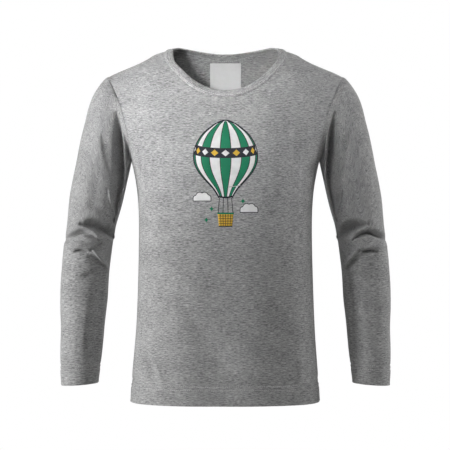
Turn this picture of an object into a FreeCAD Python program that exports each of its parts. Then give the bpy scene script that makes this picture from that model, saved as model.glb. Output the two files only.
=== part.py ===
import FreeCAD, Part

# A child's long-sleeved T-shirt in single jersey, with a ribbed crew neck and a chest print,
# filled out as it is worn.
# Millimetres, +Z up, and the front faces -Y. The wearer's right is at -X.
# The origin is midway between the two points where the shoulders meet the neck.

import math
import os

doc = FreeCAD.newDocument("shirt")

# Driving dimensions
SIZES = {
    "body_length": 512,        # neck point to bottom edge
    "armpit_drop": 161,        # neck point down to the armpit
    "shoulder_drop": 42,       # neck point down to the shoulder tip
    "shoulder_width": 342,     # tip to tip
    "armpit_width": 274,       # armpit to armpit
    "waist_width": 251,
    "hem_width": 274,
    "chest_depth": 184,        # front to back, worn
    "side_seam_back": 8,       # side and shoulder seams lie this far behind the middle
    "armhole_hollow": 7.5,     # how far the armhole curves in from a straight line
    "armhole_depth": 90,       # armhole, front to back
    "sleeve_drop": 327,        # armpit down to the cuff
    "elbow_drop": 112,         # armpit down to the elbow, where the sleeve is halved
    "sleeve_width": 80,        # upper arm, seen from the front
    "cuff_width": 53,
    "sleeve_depth": 92,        # upper arm, front to back
    "sleeve_tuck": 3,          # the sleeve's start lies this far inside the shoulder
    "sleeve_swing": 48,        # how far the sleeve hangs out from the armpit to the cuff
    "arm_forward": 22,         # how far the cuff hangs in front of the shoulder
    "cuff_rise": 5,            # the inner end of the cuff lies higher than the outer
    "cloth": 1,                # single jersey
    "hem_turn": 28,            # turned up and sewn down
    "cuff_turn": 28,
    "neck_width": 176,         # across the neck seam, seen from above
    "neck_front": 62,          # neck seam, from the middle to the front
    "neck_back": 48,
    "rib_side": 12,            # neck rib seen from above, where it lies on the shoulder
    "rib_front": 5,            # the same at the front, where it stands steeper
    "rib_back": 8,
    "film": 0.3,               # printed ink
    "print_width": 90,
    "print_length": 150,
    "print_drop": 108,         # neck point down to the top of the print
    "balloon_mouth": 18,
    "balloon_taper": 20,
    "basket_width": 22,
    "basket_height": 18,
    "rope_width": 1.4,
    "cloud_width": 24,
    "cloud_height": 12,
    "cloud_side": 33,          # middle of the print to the middle of a cloud
    "left_cloud_drop": 20,     # lower edge of a cloud above the print's lower edge
    "right_cloud_drop": 36,
    "label_width": 46,
    "label_length": 42,
    "label_drop": 14,
    "overrun": 20,             # how far cutting shapes run past what they cut
}

sheet = doc.addObject("Spreadsheet::Sheet", "sheet")
for row, (alias, value) in enumerate(SIZES.items(), start=1):
    sheet.set(f"A{row}", alias)
    sheet.set(f"B{row}", str(value))
    sheet.setAlias(f"B{row}", alias)
doc.recompute()


def size(alias):
    return float(sheet.get(alias))


# Shapes of the worn form, as shares of the driving dimensions.
# Yoke: drop of armpit_drop, half width of shoulder_width, front and back of chest_depth.
YOKE_SHARES = (
    (-0.02, 0.187, 0.000, 0.140),
    (0.00, 0.240, 0.043, 0.185),
    (0.10, 0.348, 0.120, 0.266),
    (0.186, 0.424, 0.195, 0.315),
    (0.28, 0.458, 0.255, 0.359),
    (0.404, 0.462, 0.318, 0.402),
    (0.59, 0.4415, 0.389, 0.446),
    (0.807, 0.4195, 0.451, 0.484),
)
# Sides: drop of the length under the armpit, then how far the width has gone from the
# armpit's to the waist's and from the waist's to the hem's, and front and back as above.
SIDE_SHARES = (
    (0.00, 0.00, 0.00, 0.484, 0.500),
    (0.12, 0.80, 0.00, 0.500, 0.495),
    (0.30, 1.00, 0.00, 0.500, 0.470),
    (0.62, 1.00, 0.27, 0.500, 0.467),
    (1.00, 1.00, 1.00, 0.489, 0.489),
)
# Sleeve cap: how far the outer edge has gone outwards from the shoulder tip and down the
# armhole, how far the inner edge has come from inside the body to the armpit, and the depth
# of armhole_depth.
CAP_SHARES = (
    (0.00, 0.00, 0.00, 1.00),
    (0.28, 0.09, 0.17, 1.02),
    (0.50, 0.22, 0.35, 1.03),
    (0.64, 0.37, 0.55, 1.03),
    (0.75, 0.54, 0.75, 1.02),
    (0.90, 0.82, 1.03, 1.02),
)
# Arm: drop of sleeve_drop, outwards of sleeve_swing, how far the width has gone from the
# upper arm's to the cuff's, and how far the arm has come forward.
ARM_SHARES = (
    (0.10, 0.15, 0.03, 0.03),
    (0.32, 0.52, 0.31, 0.15),
    (0.465, 0.69, 0.44, 0.30),
    (0.70, 0.80, 0.555, 0.60),
    (1.00, 1.00, 1.00, 1.00),
)
BODY_ROUNDNESS = 2.6
ARM_ROUNDNESS = 2.1
BODY_SIDES = 24
ARM_SIDES = 16


def oval(centre, outward, across, deep, roundness, sides):
    """A ring of short straight sides round centre, with a side and no corner on its axes."""
    corners = []
    for step in range(sides + 1):
        turn = math.pi * (2 * step + 1) / sides
        c, s = math.cos(turn), math.sin(turn)
        reach = math.copysign(abs(c) ** (2 / roundness), c) * across
        depth = math.copysign(abs(s) ** (2 / roundness), s) * deep
        corners.append(centre + outward * reach + FreeCAD.Vector(0, depth, 0))
    return Part.makePolygon(corners)


def torso_ring(drop, half_width, front, back, inset):
    centre = FreeCAD.Vector(0, (back - front) / 2, -drop)
    deep = (front + back) / 2 - inset
    across = half_width - inset
    return oval(centre, FreeCAD.Vector(1, 0, 0), across, deep, BODY_ROUNDNESS, BODY_SIDES)


def torso_loft(inset):
    depth = size("chest_depth")
    armpit = size("armpit_drop")
    rings = []
    for number, (drop, half_width, front, back) in enumerate(YOKE_SHARES):
        drop = drop * armpit + (0 if number else inset)
        rings.append(torso_ring(drop, half_width * size("shoulder_width"),
                                front * depth, back * depth, inset))
    for drop, to_waist, to_hem, front, back in SIDE_SHARES:
        width = size("armpit_width")
        width += to_waist * (size("waist_width") - size("armpit_width"))
        width += to_hem * (size("hem_width") - size("waist_width"))
        drop = armpit + drop * (size("body_length") - armpit)
        rings.append(torso_ring(drop, width / 2, front * depth, back * depth, inset))
    drop = size("body_length") + size("overrun") - inset
    rings.append(torso_ring(drop, width / 2, front * depth, back * depth, inset))
    return Part.makeLoft(rings, True)


def sleeve_ring(outer, inner, deep, forward, inset):
    """A ring whose outer and inner ends, seen from the front, are the two given points."""
    middle = (outer + inner) / 2
    middle.y = size("side_seam_back") - forward
    outward = (outer - inner).normalize()
    across = outer.distanceToPoint(inner) / 2
    return oval(middle, outward, across - inset, deep - inset, ARM_ROUNDNESS, ARM_SIDES)


def sleeve_loft(inset):
    tip = FreeCAD.Vector(size("shoulder_width") / 2, 0, -size("shoulder_drop"))
    armpit = FreeCAD.Vector(size("armpit_width") / 2, 0, -size("armpit_drop"))
    reach = armpit.x + size("sleeve_width") - tip.x
    height = tip.z - armpit.z
    half_depth = size("armhole_depth") / 2
    up_the_shoulder = FreeCAD.Vector(-size("shoulder_width"), 0, 3 * size("shoulder_drop"))
    start = up_the_shoulder.normalize() * (2 * size("overrun"))
    hidden = armpit + FreeCAD.Vector(-size("overrun"), 0, size("overrun"))
    rings = [sleeve_ring(tip + start, hidden + start, half_depth, 0, inset + size("sleeve_tuck"))]
    for out, down, slip, deep in CAP_SHARES:
        outer = tip + FreeCAD.Vector(out * reach, 0, -down * height)
        inner = hidden + (armpit - hidden) * slip
        rings.append(sleeve_ring(outer, inner, deep * half_depth, 0, inset))
    for drop, out, taper, forward in ARM_SHARES:
        width = size("sleeve_width") + taper * (size("cuff_width") - size("sleeve_width"))
        deep = width * size("sleeve_depth") / size("sleeve_width") / 2
        inner = armpit + FreeCAD.Vector(out * size("sleeve_swing"), 0, -drop * size("sleeve_drop"))
        outer = inner + FreeCAD.Vector(width, 0, 0)
        inner.z += size("cuff_rise") / 2
        outer.z -= size("cuff_rise") / 2
        rings.append(sleeve_ring(outer, inner, deep, forward * size("arm_forward"), inset))
    past = FreeCAD.Vector(0, 0, inset - size("overrun"))
    rings.append(sleeve_ring(outer + past, inner + past, deep, size("arm_forward"), inset))
    return Part.makeLoft(rings, True)


def feature(kind, name, expressions=None, **properties):
    item = doc.addObject(kind, name)
    for key, value in properties.items():
        setattr(item, key, value)
    for key, value in (expressions or {}).items():
        item.setExpression(key, value)
    return item


def shaped(name, shape):
    return feature("Part::Feature", name, Shape=shape)


def mirrored(name, source):
    return feature("Part::Mirroring", name, Source=source, Normal=FreeCAD.Vector(1, 0, 0))


def worn_form(name, inset):
    """Torso and both sleeves as one solid, inset from the outside of the cloth."""
    torso = shaped(name + "_torso", torso_loft(inset))
    left = shaped(name + "_left_arm", sleeve_loft(inset))
    right = mirrored(name + "_right_arm", left)
    return feature("Part::MultiFuse", name, Shapes=[torso, left, right])


outside = worn_form("outside", 0)
inside = worn_form("inside", size("cloth"))
lining = worn_form("lining", 2 * size("cloth"))
print_face = shaped("print_face", torso_loft(-size("film")))


def block(name, low_x, high_x, low_y, high_y, low_z, high_z):
    """A box between six planes, each an expression in the sheet's names."""
    return feature("Part::Box", name, {
        "Length": f"({high_x}) - ({low_x})",
        "Width": f"({high_y}) - ({low_y})",
        "Height": f"({high_z}) - ({low_z})",
        "Placement.Base.x": low_x,
        "Placement.Base.y": low_y,
        "Placement.Base.z": low_z,
    })


FAR = "sheet.body_length"
SEAM_PLANE = "sheet.side_seam_back"
BOTTOM = "-sheet.body_length"
SHOULDER = "sheet.shoulder_width / 2"
front_half = block("front_half", f"-{SHOULDER}", SHOULDER, f"-{FAR}", SEAM_PLANE,
                   BOTTOM, "sheet.overrun")
back_half = block("back_half", f"-{SHOULDER}", SHOULDER, SEAM_PLANE, FAR,
                  BOTTOM, "sheet.overrun")


def neck_plug(name, side, front, back):
    """An upright oval post that cuts the neck opening, side, front and back from the middle."""
    ring = feature("Part::Ellipse", name + "_ring", {
        "MajorRadius": side,
        "MinorRadius": f"({front} + {back}) / 2",
        "Placement.Base.y": f"({back} - ({front})) / 2",
        "Placement.Base.z": "-sheet.armpit_drop",
    })
    return feature("Part::Extrusion", name, {
        "LengthFwd": "sheet.armpit_drop + 2 * sheet.overrun",
    }, Base=ring, DirMode="Normal", Solid=True)


neck_seam = neck_plug("neck_seam", "sheet.neck_width / 2", "sheet.neck_front", "sheet.neck_back")
neck_edge = neck_plug("neck_edge", "sheet.neck_width / 2 - sheet.rib_side",
                      "sheet.neck_front - sheet.rib_front", "sheet.neck_back - sheet.rib_back")


def sleeve_side(name, shift, low):
    """Everything outboard of the armhole seam moved by shift, down to low above the cuff."""
    tip = FreeCAD.Vector(size("shoulder_width") / 2 + shift, 0, -size("shoulder_drop"))
    armpit = FreeCAD.Vector(size("armpit_width") / 2 + shift, 0, -size("armpit_drop"))
    chord = (armpit - tip).normalize()
    hollow = FreeCAD.Vector(chord.z, 0, -chord.x) * size("armhole_hollow")
    middle = (tip + armpit) / 2 + hollow
    above = tip + (tip - middle).normalize() * size("overrun") * 2
    cuff_inner = armpit.x + size("sleeve_swing") / 2
    cuff_outer = armpit.x + size("sleeve_swing") + 2 * size("cuff_width")
    cuff = -size("armpit_drop") - size("sleeve_drop") + low
    inner_end = FreeCAD.Vector(cuff_inner, 0, cuff + size("cuff_rise") / 2)
    outer_end = FreeCAD.Vector(cuff_outer, 0, cuff - size("cuff_rise") / 2)
    corner = FreeCAD.Vector(cuff_outer, 0, above.z)
    edges = [Part.makeLine(above, tip), Part.Arc(tip, middle, armpit).toShape()]
    edges += Part.makePolygon([armpit, inner_end, outer_end, corner, above]).Edges
    face = Part.Face(Part.Wire(edges))
    depth = 2 * size("chest_depth")
    solid = face.extrude(FreeCAD.Vector(0, depth, 0))
    solid.translate(FreeCAD.Vector(0, -depth / 2, 0))
    return shaped(name, solid)


left_arm_side = sleeve_side("left_arm_side", 0, 0)
right_arm_side = mirrored("right_arm_side", left_arm_side)


def less(name, base, *tools):
    """A solid with others taken away from it."""
    item = base
    for number, tool in enumerate(tools, start=1):
        item = feature("Part::Cut", f"{name}_{number}", Base=item, Tool=tool)
    return item


# The sleeve is one piece of cloth. It is halved at the elbow so that its collision shapes
# follow the tube closely.
below_elbow = block("below_elbow", "0", FAR, f"-{FAR}", FAR,
                    "-sheet.armpit_drop - sheet.sleeve_drop - sheet.overrun",
                    "-sheet.armpit_drop - sheet.elbow_drop")
left_upper_side = less("left_upper_side", left_arm_side, below_elbow)
left_forearm_side = feature("Part::MultiCommon", "left_forearm_side",
                            Shapes=[left_arm_side, below_elbow])
right_upper_side = mirrored("right_upper_side", left_upper_side)
right_forearm_side = mirrored("right_forearm_side", left_forearm_side)


def piece(label, cloth, region):
    """The part of a layer of cloth that lies in one region."""
    return feature("Part::MultiCommon", label, Shapes=[cloth, region])


single_layer = feature("Part::Cut", "single_layer", Base=outside, Tool=inside)
second_layer = feature("Part::Cut", "second_layer", Base=inside, Tool=lining)
double_layer = feature("Part::Cut", "double_layer", Base=outside, Tool=lining)
print_layer = feature("Part::Cut", "print_layer", Base=print_face,
                      Tool=doc.getObject("outside_torso"))
cuts = [left_arm_side, right_arm_side, neck_seam]
front_region = less("front_region", front_half, *cuts)
back_region = less("back_region", back_half, *cuts)
neck_region = less("neck_region", neck_seam, neck_edge)
hem_band = block("hem_band", f"-{SHOULDER}", SHOULDER, f"-{FAR}", FAR,
                 BOTTOM, f"{BOTTOM} + sheet.hem_turn")
left_above_hem = sleeve_side("left_above_hem", 0, size("cuff_turn"))
left_cuff_band = less("left_cuff_band", left_arm_side, left_above_hem)
right_cuff_band = mirrored("right_cuff_band", left_cuff_band)
label_space = block("label_space", "-sheet.label_width / 2", "sheet.label_width / 2",
                    SEAM_PLANE, FAR, "-sheet.label_drop - sheet.label_length",
                    "-sheet.label_drop")
label_region = less("label_region", label_space, neck_seam)


def front_prism(name, face):
    """A flat outline carried through the front of the shirt."""
    return shaped(name, face.extrude(FreeCAD.Vector(0, -size("chest_depth"), 0)))


def balloon_outline():
    """A round envelope that tapers to a narrow mouth."""
    radius = size("print_width") / 2
    mouth = size("balloon_mouth") / 2
    top = -size("print_drop")
    centre = top - radius
    bottom = centre - radius - size("balloon_taper")
    turn = math.radians(BALLOON_TAPER_FROM)
    shoulder = FreeCAD.Vector(radius * math.cos(turn), 0, centre - radius * math.sin(turn))
    other = FreeCAD.Vector(-shoulder.x, 0, shoulder.z)
    crown = Part.Arc(shoulder, FreeCAD.Vector(0, 0, top), other).toShape()
    corners = [other, FreeCAD.Vector(-mouth, 0, bottom), FreeCAD.Vector(mouth, 0, bottom), shoulder]
    return Part.Face(Part.Wire([crown] + Part.makePolygon(corners).Edges))


def rope_outline():
    """The left of the two ropes, from the balloon's mouth to the rim of the basket."""
    top = size("balloon_taper") + size("print_width") + size("print_drop")
    low = size("print_drop") + size("print_length") - size("basket_height")
    outer_top, outer_low = size("balloon_mouth") / 2, size("basket_width") / 2
    rope = FreeCAD.Vector(size("rope_width"), 0, 0)
    overlap = FreeCAD.Vector(0, 0, size("rope_width") / 2)
    start = FreeCAD.Vector(outer_top, 0, -top) + overlap
    end = FreeCAD.Vector(outer_low, 0, -low) - overlap
    return Part.Face(Part.makePolygon([start, end, end - rope, start - rope, start]))


def cloud_outline(side, rise):
    """A flat-bottomed cloud of four puffs."""
    low = -size("print_drop") - size("print_length") + rise
    wide, high = size("cloud_width"), size("cloud_height")
    spots = [FreeCAD.Vector(side + x * wide, 0, low + z * high) for x, z in CLOUD_SHARES]
    edges = [Part.makeLine(spots[-1], spots[0])]
    edges += [Part.Arc(*spots[i:i + 3]).toShape() for i in range(0, len(spots) - 1, 2)]
    return Part.Face(Part.Wire(edges))


# A cloud's puffs, each from its start over its top to the next one's start.
CLOUD_SHARES = (
    (-0.5, 0), (-0.49, 0.3), (-0.33, 0.45), (-0.22, 0.9), (0.02, 0.8),
    (0.22, 0.88), (0.34, 0.5), (0.49, 0.34), (0.5, 0),
)
BALLOON_TAPER_FROM = 35
balloon_space = front_prism("balloon_space", balloon_outline())
left_rope = front_prism("left_rope", rope_outline())
right_rope = mirrored("right_rope", left_rope)
left_cloud = front_prism("left_cloud", cloud_outline(size("cloud_side"), size("left_cloud_drop")))
right_cloud = front_prism("right_cloud", cloud_outline(-size("cloud_side"), size("right_cloud_drop")))
basket_space = block("basket_space", "-sheet.basket_width / 2", "sheet.basket_width / 2",
                     f"-{FAR}", "0", "-sheet.print_drop - sheet.print_length",
                     "-sheet.print_drop - sheet.print_length + sheet.basket_height")
print_spaces = feature("Part::MultiFuse", "print_spaces", Shapes=[
    balloon_space, basket_space, left_rope, right_rope, left_cloud, right_cloud])
pieces = [
    piece("front_panel", single_layer, front_region),
    piece("back_panel", single_layer, back_region),
    piece("left_sleeve", single_layer, left_upper_side),
    piece("right_sleeve", single_layer, right_upper_side),
    piece("left_forearm_sleeve", single_layer, left_forearm_side),
    piece("right_forearm_sleeve", single_layer, right_forearm_side),
    piece("neck_rib", double_layer, neck_region),
    piece("bottom_hem", second_layer, hem_band),
    piece("left_cuff_hem", second_layer, left_cuff_band),
    piece("right_cuff_hem", second_layer, right_cuff_band),
    piece("neck_label", second_layer, label_region),
    piece("chest_print", print_layer, print_spaces),
]

doc.recompute()
for item in doc.Objects:
    if "Invalid" in item.State or "Error" in item.State:
        raise RuntimeError(f"{item.Name} did not build: {item.State}")
for item in pieces:
    if item.Shape.isNull() or not item.Shape.isValid():
        raise RuntimeError(f"{item.Label} has no valid shape")

os.makedirs("parts", exist_ok=True)
for item in pieces:
    item.Shape.exportStep(f"parts/{item.Label}.step")
    print(item.Label, len(item.Shape.Solids), round(item.Shape.Volume), item.Shape.BoundBox)
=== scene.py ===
import math

import bmesh
import bpy
import numpy as np
from bpy.props import FloatProperty, FloatVectorProperty, IntProperty, PointerProperty
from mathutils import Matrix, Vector, noise
from mathutils.bvhtree import BVHTree
from mathutils.kdtree import KDTree


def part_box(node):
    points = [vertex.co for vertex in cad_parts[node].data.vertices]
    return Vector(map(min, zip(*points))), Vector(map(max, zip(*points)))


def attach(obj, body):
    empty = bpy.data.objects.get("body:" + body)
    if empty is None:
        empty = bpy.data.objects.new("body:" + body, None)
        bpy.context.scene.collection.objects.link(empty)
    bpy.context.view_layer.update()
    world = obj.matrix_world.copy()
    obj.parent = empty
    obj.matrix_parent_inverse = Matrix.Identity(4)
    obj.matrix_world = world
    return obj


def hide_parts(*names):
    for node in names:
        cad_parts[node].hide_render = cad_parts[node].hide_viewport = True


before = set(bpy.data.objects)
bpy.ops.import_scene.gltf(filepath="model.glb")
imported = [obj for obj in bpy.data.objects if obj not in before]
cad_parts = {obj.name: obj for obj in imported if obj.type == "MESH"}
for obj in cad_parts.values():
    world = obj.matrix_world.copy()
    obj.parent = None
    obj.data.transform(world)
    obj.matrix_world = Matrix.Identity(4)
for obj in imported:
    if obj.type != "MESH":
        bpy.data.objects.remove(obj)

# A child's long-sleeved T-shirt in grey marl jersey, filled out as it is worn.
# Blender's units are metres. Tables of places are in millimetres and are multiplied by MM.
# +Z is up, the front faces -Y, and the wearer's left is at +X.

bl_info = {
    "name": "Long-sleeved T-shirt",
    "version": (1, 0, 0),
    "blender": (4, 5, 0),
    "location": "View3D > Sidebar > Shirt",
    "description": "Builds a grey marl jersey T-shirt with its ribs, hems, stitches, label and print",
    "category": "Add Mesh",
}

MM = 0.001
BODY = "root"
BODY_LENGTH = -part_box("front_panel")[0].z
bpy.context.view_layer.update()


def linear(hex_colour):
    """An sRGB hex value as the linear colour that shaders take."""
    parts = [int(hex_colour[i:i + 2], 16) / 255 for i in (1, 3, 5)]
    return tuple(p / 12.92 if p <= 0.04045 else ((p + 0.055) / 1.055) ** 2.4 for p in parts)


def size_property(name, note, size):
    """A length, given in millimetres."""
    return FloatProperty(name=name, description=note, default=size * MM, unit="LENGTH")


def colour_property(name, note, hex_colour):
    colour = linear(hex_colour)
    return FloatVectorProperty(name=name, description=note, subtype="COLOR", default=colour)


class ShirtCut(bpy.types.PropertyGroup):
    """Sizes of the cut and of the sewing."""

    cloth: size_property("Cloth", "Thickness of the single jersey", 0.9)
    mesh_step: size_property("Mesh step", "Usual distance between vertices", 2.5)
    fine_step: size_property("Fine step", "The same beside seams and stitches", 1.1)
    hem: size_property("Hem", "Depth of the turned bottom hem", 28)
    cuff: size_property("Cuff hem", "Depth of the turned cuff hem", 28)
    rib_thickness: size_property("Neck rib thickness", "The folded rib, two layers", 2.4)
    rib_pitch: size_property("Rib pitch", "From one wale of the rib to the next", 2.0)
    rib_relief: size_property("Rib relief", "How far the wales stand out", 0.16)
    seam_dip: size_property("Seam dip", "How far the cloth sinks at a seam", 0.7)
    label_width: size_property("Label width", "Woven neck label", 46)
    label_length: size_property("Label length", "Woven neck label", 42)


class ShirtStitches(bpy.types.PropertyGroup):
    """The sewing thread."""

    length: size_property("Stitch length", "One stitch of the twin needle", 2.6)
    gap: size_property("Stitch gap", "Where the thread dips into the cloth", 0.5)
    thread: size_property("Thread", "Half the thickness of the thread", 0.44)
    twin: size_property("Needle distance", "Between the twin needle's rows", 5.5)
    seed: IntProperty(name="Seed", description="Unevenness of the stitches", default=4)


class ShirtFolds(bpy.types.PropertyGroup):
    """How strongly the cloth is creased."""

    depth: FloatProperty(
        name="Fold depth", description="Factor on every fold", default=1.0, min=0, max=2)
    unevenness: size_property("Unevenness", "Height of the soft waves all over", 1.0)


class ShirtColours(bpy.types.PropertyGroup):
    """Colours of the yarns and inks."""

    dark_yarn: colour_property("Dark yarn", "Dark fibres of the marl", "#6F6F70")
    mid_yarn: colour_property("Middle yarn", "Most fibres of the marl", "#A4A4A4")
    light_yarn: colour_property("Light yarn", "Light fibres of the marl", "#CFCFCF")
    thread: colour_property("Thread", "Sewing thread", "#D2D2D2")
    label: colour_property("Label", "Woven satin label", "#F4F4F4")
    green_ink: colour_property("Green ink", "Screen print", "#0A7A55")
    white_ink: colour_property("White ink", "Screen print", "#EDEDED")
    navy_ink: colour_property("Navy ink", "Screen print", "#12121F")
    gold_ink: colour_property("Gold ink", "Screen print", "#DDB43A")


# Spline and spacing helpers

def through(keys, rows, at):
    """A natural cubic spline through rows of values, read at other keys."""
    keys, rows, at = np.asarray(keys, float), np.asarray(rows, float), np.asarray(at, float)
    count, step = len(keys), np.diff(keys)
    system, right = np.eye(count), np.zeros_like(rows)
    for i in range(1, count - 1):
        system[i, i - 1:i + 2] = step[i - 1], 2 * (step[i - 1] + step[i]), step[i]
        right[i] = 6 * ((rows[i + 1] - rows[i]) / step[i] - (rows[i] - rows[i - 1]) / step[i - 1])
    bend = np.linalg.solve(system, right)
    i = np.clip(np.searchsorted(keys, at) - 1, 0, count - 2)
    wide, after, before = step[i][:, None], (at - keys[i])[:, None], (keys[i + 1] - at)[:, None]
    curved = (bend[i] * before ** 3 + bend[i + 1] * after ** 3) / (6 * wide)
    start = (rows[i] / wide - bend[i] * wide / 6) * before
    end = (rows[i + 1] / wide - bend[i + 1] * wide / 6) * after
    return curved + start + end


def lengths_along(points, axis=0):
    """Distance from the first point to each point of a line, or of a grid's lines."""
    steps = np.linalg.norm(np.diff(points, axis=axis), axis=-1)
    return np.cumsum(np.insert(steps, 0, 0, axis), axis)


def read_at(line, keys, places):
    """Points of a line at some places, where each of its points has a key."""
    return np.stack([np.interp(places, keys, values) for values in line.T], axis=1)


def row_at(grid, keys, place):
    """A row of points between two rows of a grid, where each row has a key."""
    i = np.clip(np.searchsorted(keys, place) - 1, 0, len(keys) - 2)
    part = (place - keys[i]) / (keys[i + 1] - keys[i])
    return grid[i] * (1 - part) + grid[i + 1] * part


def unit(vectors):
    """Vectors of length 1 in the same directions."""
    size = np.linalg.norm(vectors, axis=-1, keepdims=True)
    return vectors / np.maximum(size, 1e-12)


def swollen(wave, power):
    """A sine or cosine made fuller, so that an ellipse becomes a rounded box."""
    return np.sign(wave) * np.abs(wave) ** power


def bell(away, wide):
    """1 at a place, and falling softly with the distance from it."""
    return np.exp(-(away / wide) ** 2)


def spaced(total, usual, fine, places, reach):
    """Places from 0 to total, a usual step apart, and a fine step apart within reach of places."""
    found = [0.0]
    while found[-1] < total:
        near = min(abs(found[-1] - p) for p in places)
        share = min(1, max(0, near / reach - 1))
        found.append(found[-1] + fine + (usual - fine) * share)
    return np.array(found) * total / found[-1]


def smoothstep(low, high, value):
    share = np.clip((value - low) / (high - low), 0, 1)
    return share * share * (3 - 2 * share)


# The filled form of the body
# Each row: drop below the neck point, half width, front and back of the wearer's axis.
TORSO_FORM = np.array((
    (-3.2, 64, 0, 25.8),
    (0, 82, 8, 34),
    (14, 116, 20.5, 48),
    (28, 146.5, 34.5, 57),
    (39.6, 171, 43, 63.6),
    (55, 173.5, 52, 70),
    (80, 171, 65, 77.5),
    (110, 159.5, 76.5, 84.5),
    (135, 145.5, 84.5, 89.5),
    (161, 137, 89, 92),
    (204, 128.6, 92, 91),
    (269, 125.6, 92, 86.5),
    (336, 127, 92, 86),
    (384, 128.6, 92, 86),
    (430, 131.4, 91.5, 87.5),
    (470, 134.6, 90.5, 89),
    (512, 137, 90, 90),
)) * MM
ROUND_BODY = 2.6
BODY_POWER = 2 / ROUND_BODY
FINE_DROPS = np.arange(TORSO_FORM[0, 0], TORSO_FORM[-1, 0] + MM / 4, MM / 2)
FINE_FORM = through(TORSO_FORM[:, 0], TORSO_FORM[:, 1:], FINE_DROPS)
SHOULDER_ROWS = 60
SEAM_POINTS = 241

# Armhole seen from the front: drop and distance from the middle.
ARMHOLE_LINE = np.array((
    (39.6, 171),
    (52, 165.5),
    (62, 160.5),
    (80, 153),
    (94.5, 148.3),
    (108.5, 145),
    (127, 140.5),
    (144, 137.6),
    (161, 137),
)) * MM
SHOULDER_TIP, ARMPIT = ARMHOLE_LINE[0, 0], ARMHOLE_LINE[-1, 0]

# Neck seam and neck edge seen from above: half width, front and back.
NECK_SEAM = np.array((88, 62, 48)) * MM
NECK_EDGE = np.array((76, 57, 40)) * MM


def form_at(drop):
    """Half width, half depth and middle of the body at each drop."""
    wide, front, back = (np.interp(drop, FINE_DROPS, FINE_FORM[:, i]) for i in range(3))
    return wide, (front + back) / 2, (back - front) / 2


def torso_at(theta, drop, facing):
    """A point of the body: theta runs from side seam to side seam, facing is 1 in front."""
    wide, deep, middle = form_at(drop)
    x = wide * swollen(np.sin(theta), BODY_POWER)
    y = middle - facing * deep * np.abs(np.cos(theta)) ** BODY_POWER
    return np.stack([x, y, -np.asarray(drop) * np.ones_like(x)], axis=-1)


def quarter_table():
    """Theta against the share of the way round a quarter of a usual section."""
    theta = np.linspace(0, math.pi / 2, 600)
    chest = np.argmin(np.abs(FINE_DROPS - ARMPIT))
    wide, front, back = FINE_FORM[chest]
    x = wide * np.sin(theta) ** BODY_POWER
    y = (front + back) / 2 * np.cos(theta) ** BODY_POWER
    length = lengths_along(np.stack([x, y], axis=1))
    return theta, length / length[-1]


QUARTER_THETA, QUARTER_SHARE = quarter_table()


def theta_of(share):
    return np.sign(share) * np.interp(np.abs(share), QUARTER_SHARE, QUARTER_THETA)


def share_of(theta):
    return np.sign(theta) * np.interp(np.abs(theta), QUARTER_THETA, QUARTER_SHARE)


def armhole_theta(drop):
    """Where a panel ends sideways: at the side seam, or at the armhole between tip and armpit."""
    wide = form_at(drop)[0]
    seam = through(ARMHOLE_LINE[:, 0], ARMHOLE_LINE[:, 1:], np.atleast_1d(drop))[:, 0]
    theta = np.arcsin(np.clip(seam / wide, 0, 1) ** (1 / BODY_POWER))
    inside = (drop > SHOULDER_TIP) & (drop < ARMPIT)
    return np.where(inside, theta, math.pi / 2)


def oval_at(turn, oval):
    """Points of an oval seen from above, at turns from its front middle."""
    half, front, back = oval
    return half * np.sin(turn), (back - front) / 2 - (front + back) / 2 * np.cos(turn)


def on_oval(turn, oval, facing):
    """Theta and drop where an upright oval post meets the front or back of the body."""
    x, y = oval_at(turn, oval)
    wide, deep, middle = form_at(FINE_DROPS)
    drops = np.empty_like(x)
    for i, (px, py) in enumerate(zip(x, y)):
        fits = np.clip(1 - np.minimum(abs(px) / wide, 1) ** ROUND_BODY, 0, 1)
        line = facing * (middle - facing * deep * fits ** (1 / ROUND_BODY))
        first = np.nonzero((line <= facing * py) & (wide >= abs(px)))[0][0]
        before, after = line[first - 1], line[first]
        part = np.clip((before - facing * py) / max(before - after, 1e-9), 0, 1)
        drops[i] = FINE_DROPS[first - 1] + part * (FINE_DROPS[first] - FINE_DROPS[first - 1])
    share = np.clip(np.abs(x) / form_at(drops)[0], 0, 1)
    return np.arcsin(share ** (1 / BODY_POWER)) * np.sign(x), drops


def seam_turn(oval):
    """The turn from the front middle at which an oval post meets the shoulder line."""
    turns = np.linspace(math.pi / 2, math.pi, 800)
    x, y = oval_at(turns, oval)
    shoulder = slice(SHOULDER_ROWS)
    drops = np.interp(x, FINE_FORM[shoulder, 0], FINE_DROPS[shoulder])
    return turns[np.argmax(y >= form_at(drops)[2])]


def neck_line(share, oval, facing):
    """Theta and drop along the neck seam or edge, from the wearer's right (-1) to left (1)."""
    most = seam_turn(oval)
    turn = share * most if facing > 0 else math.pi - share * (math.pi - most)
    return on_oval(np.atleast_1d(turn), oval, facing)


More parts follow.
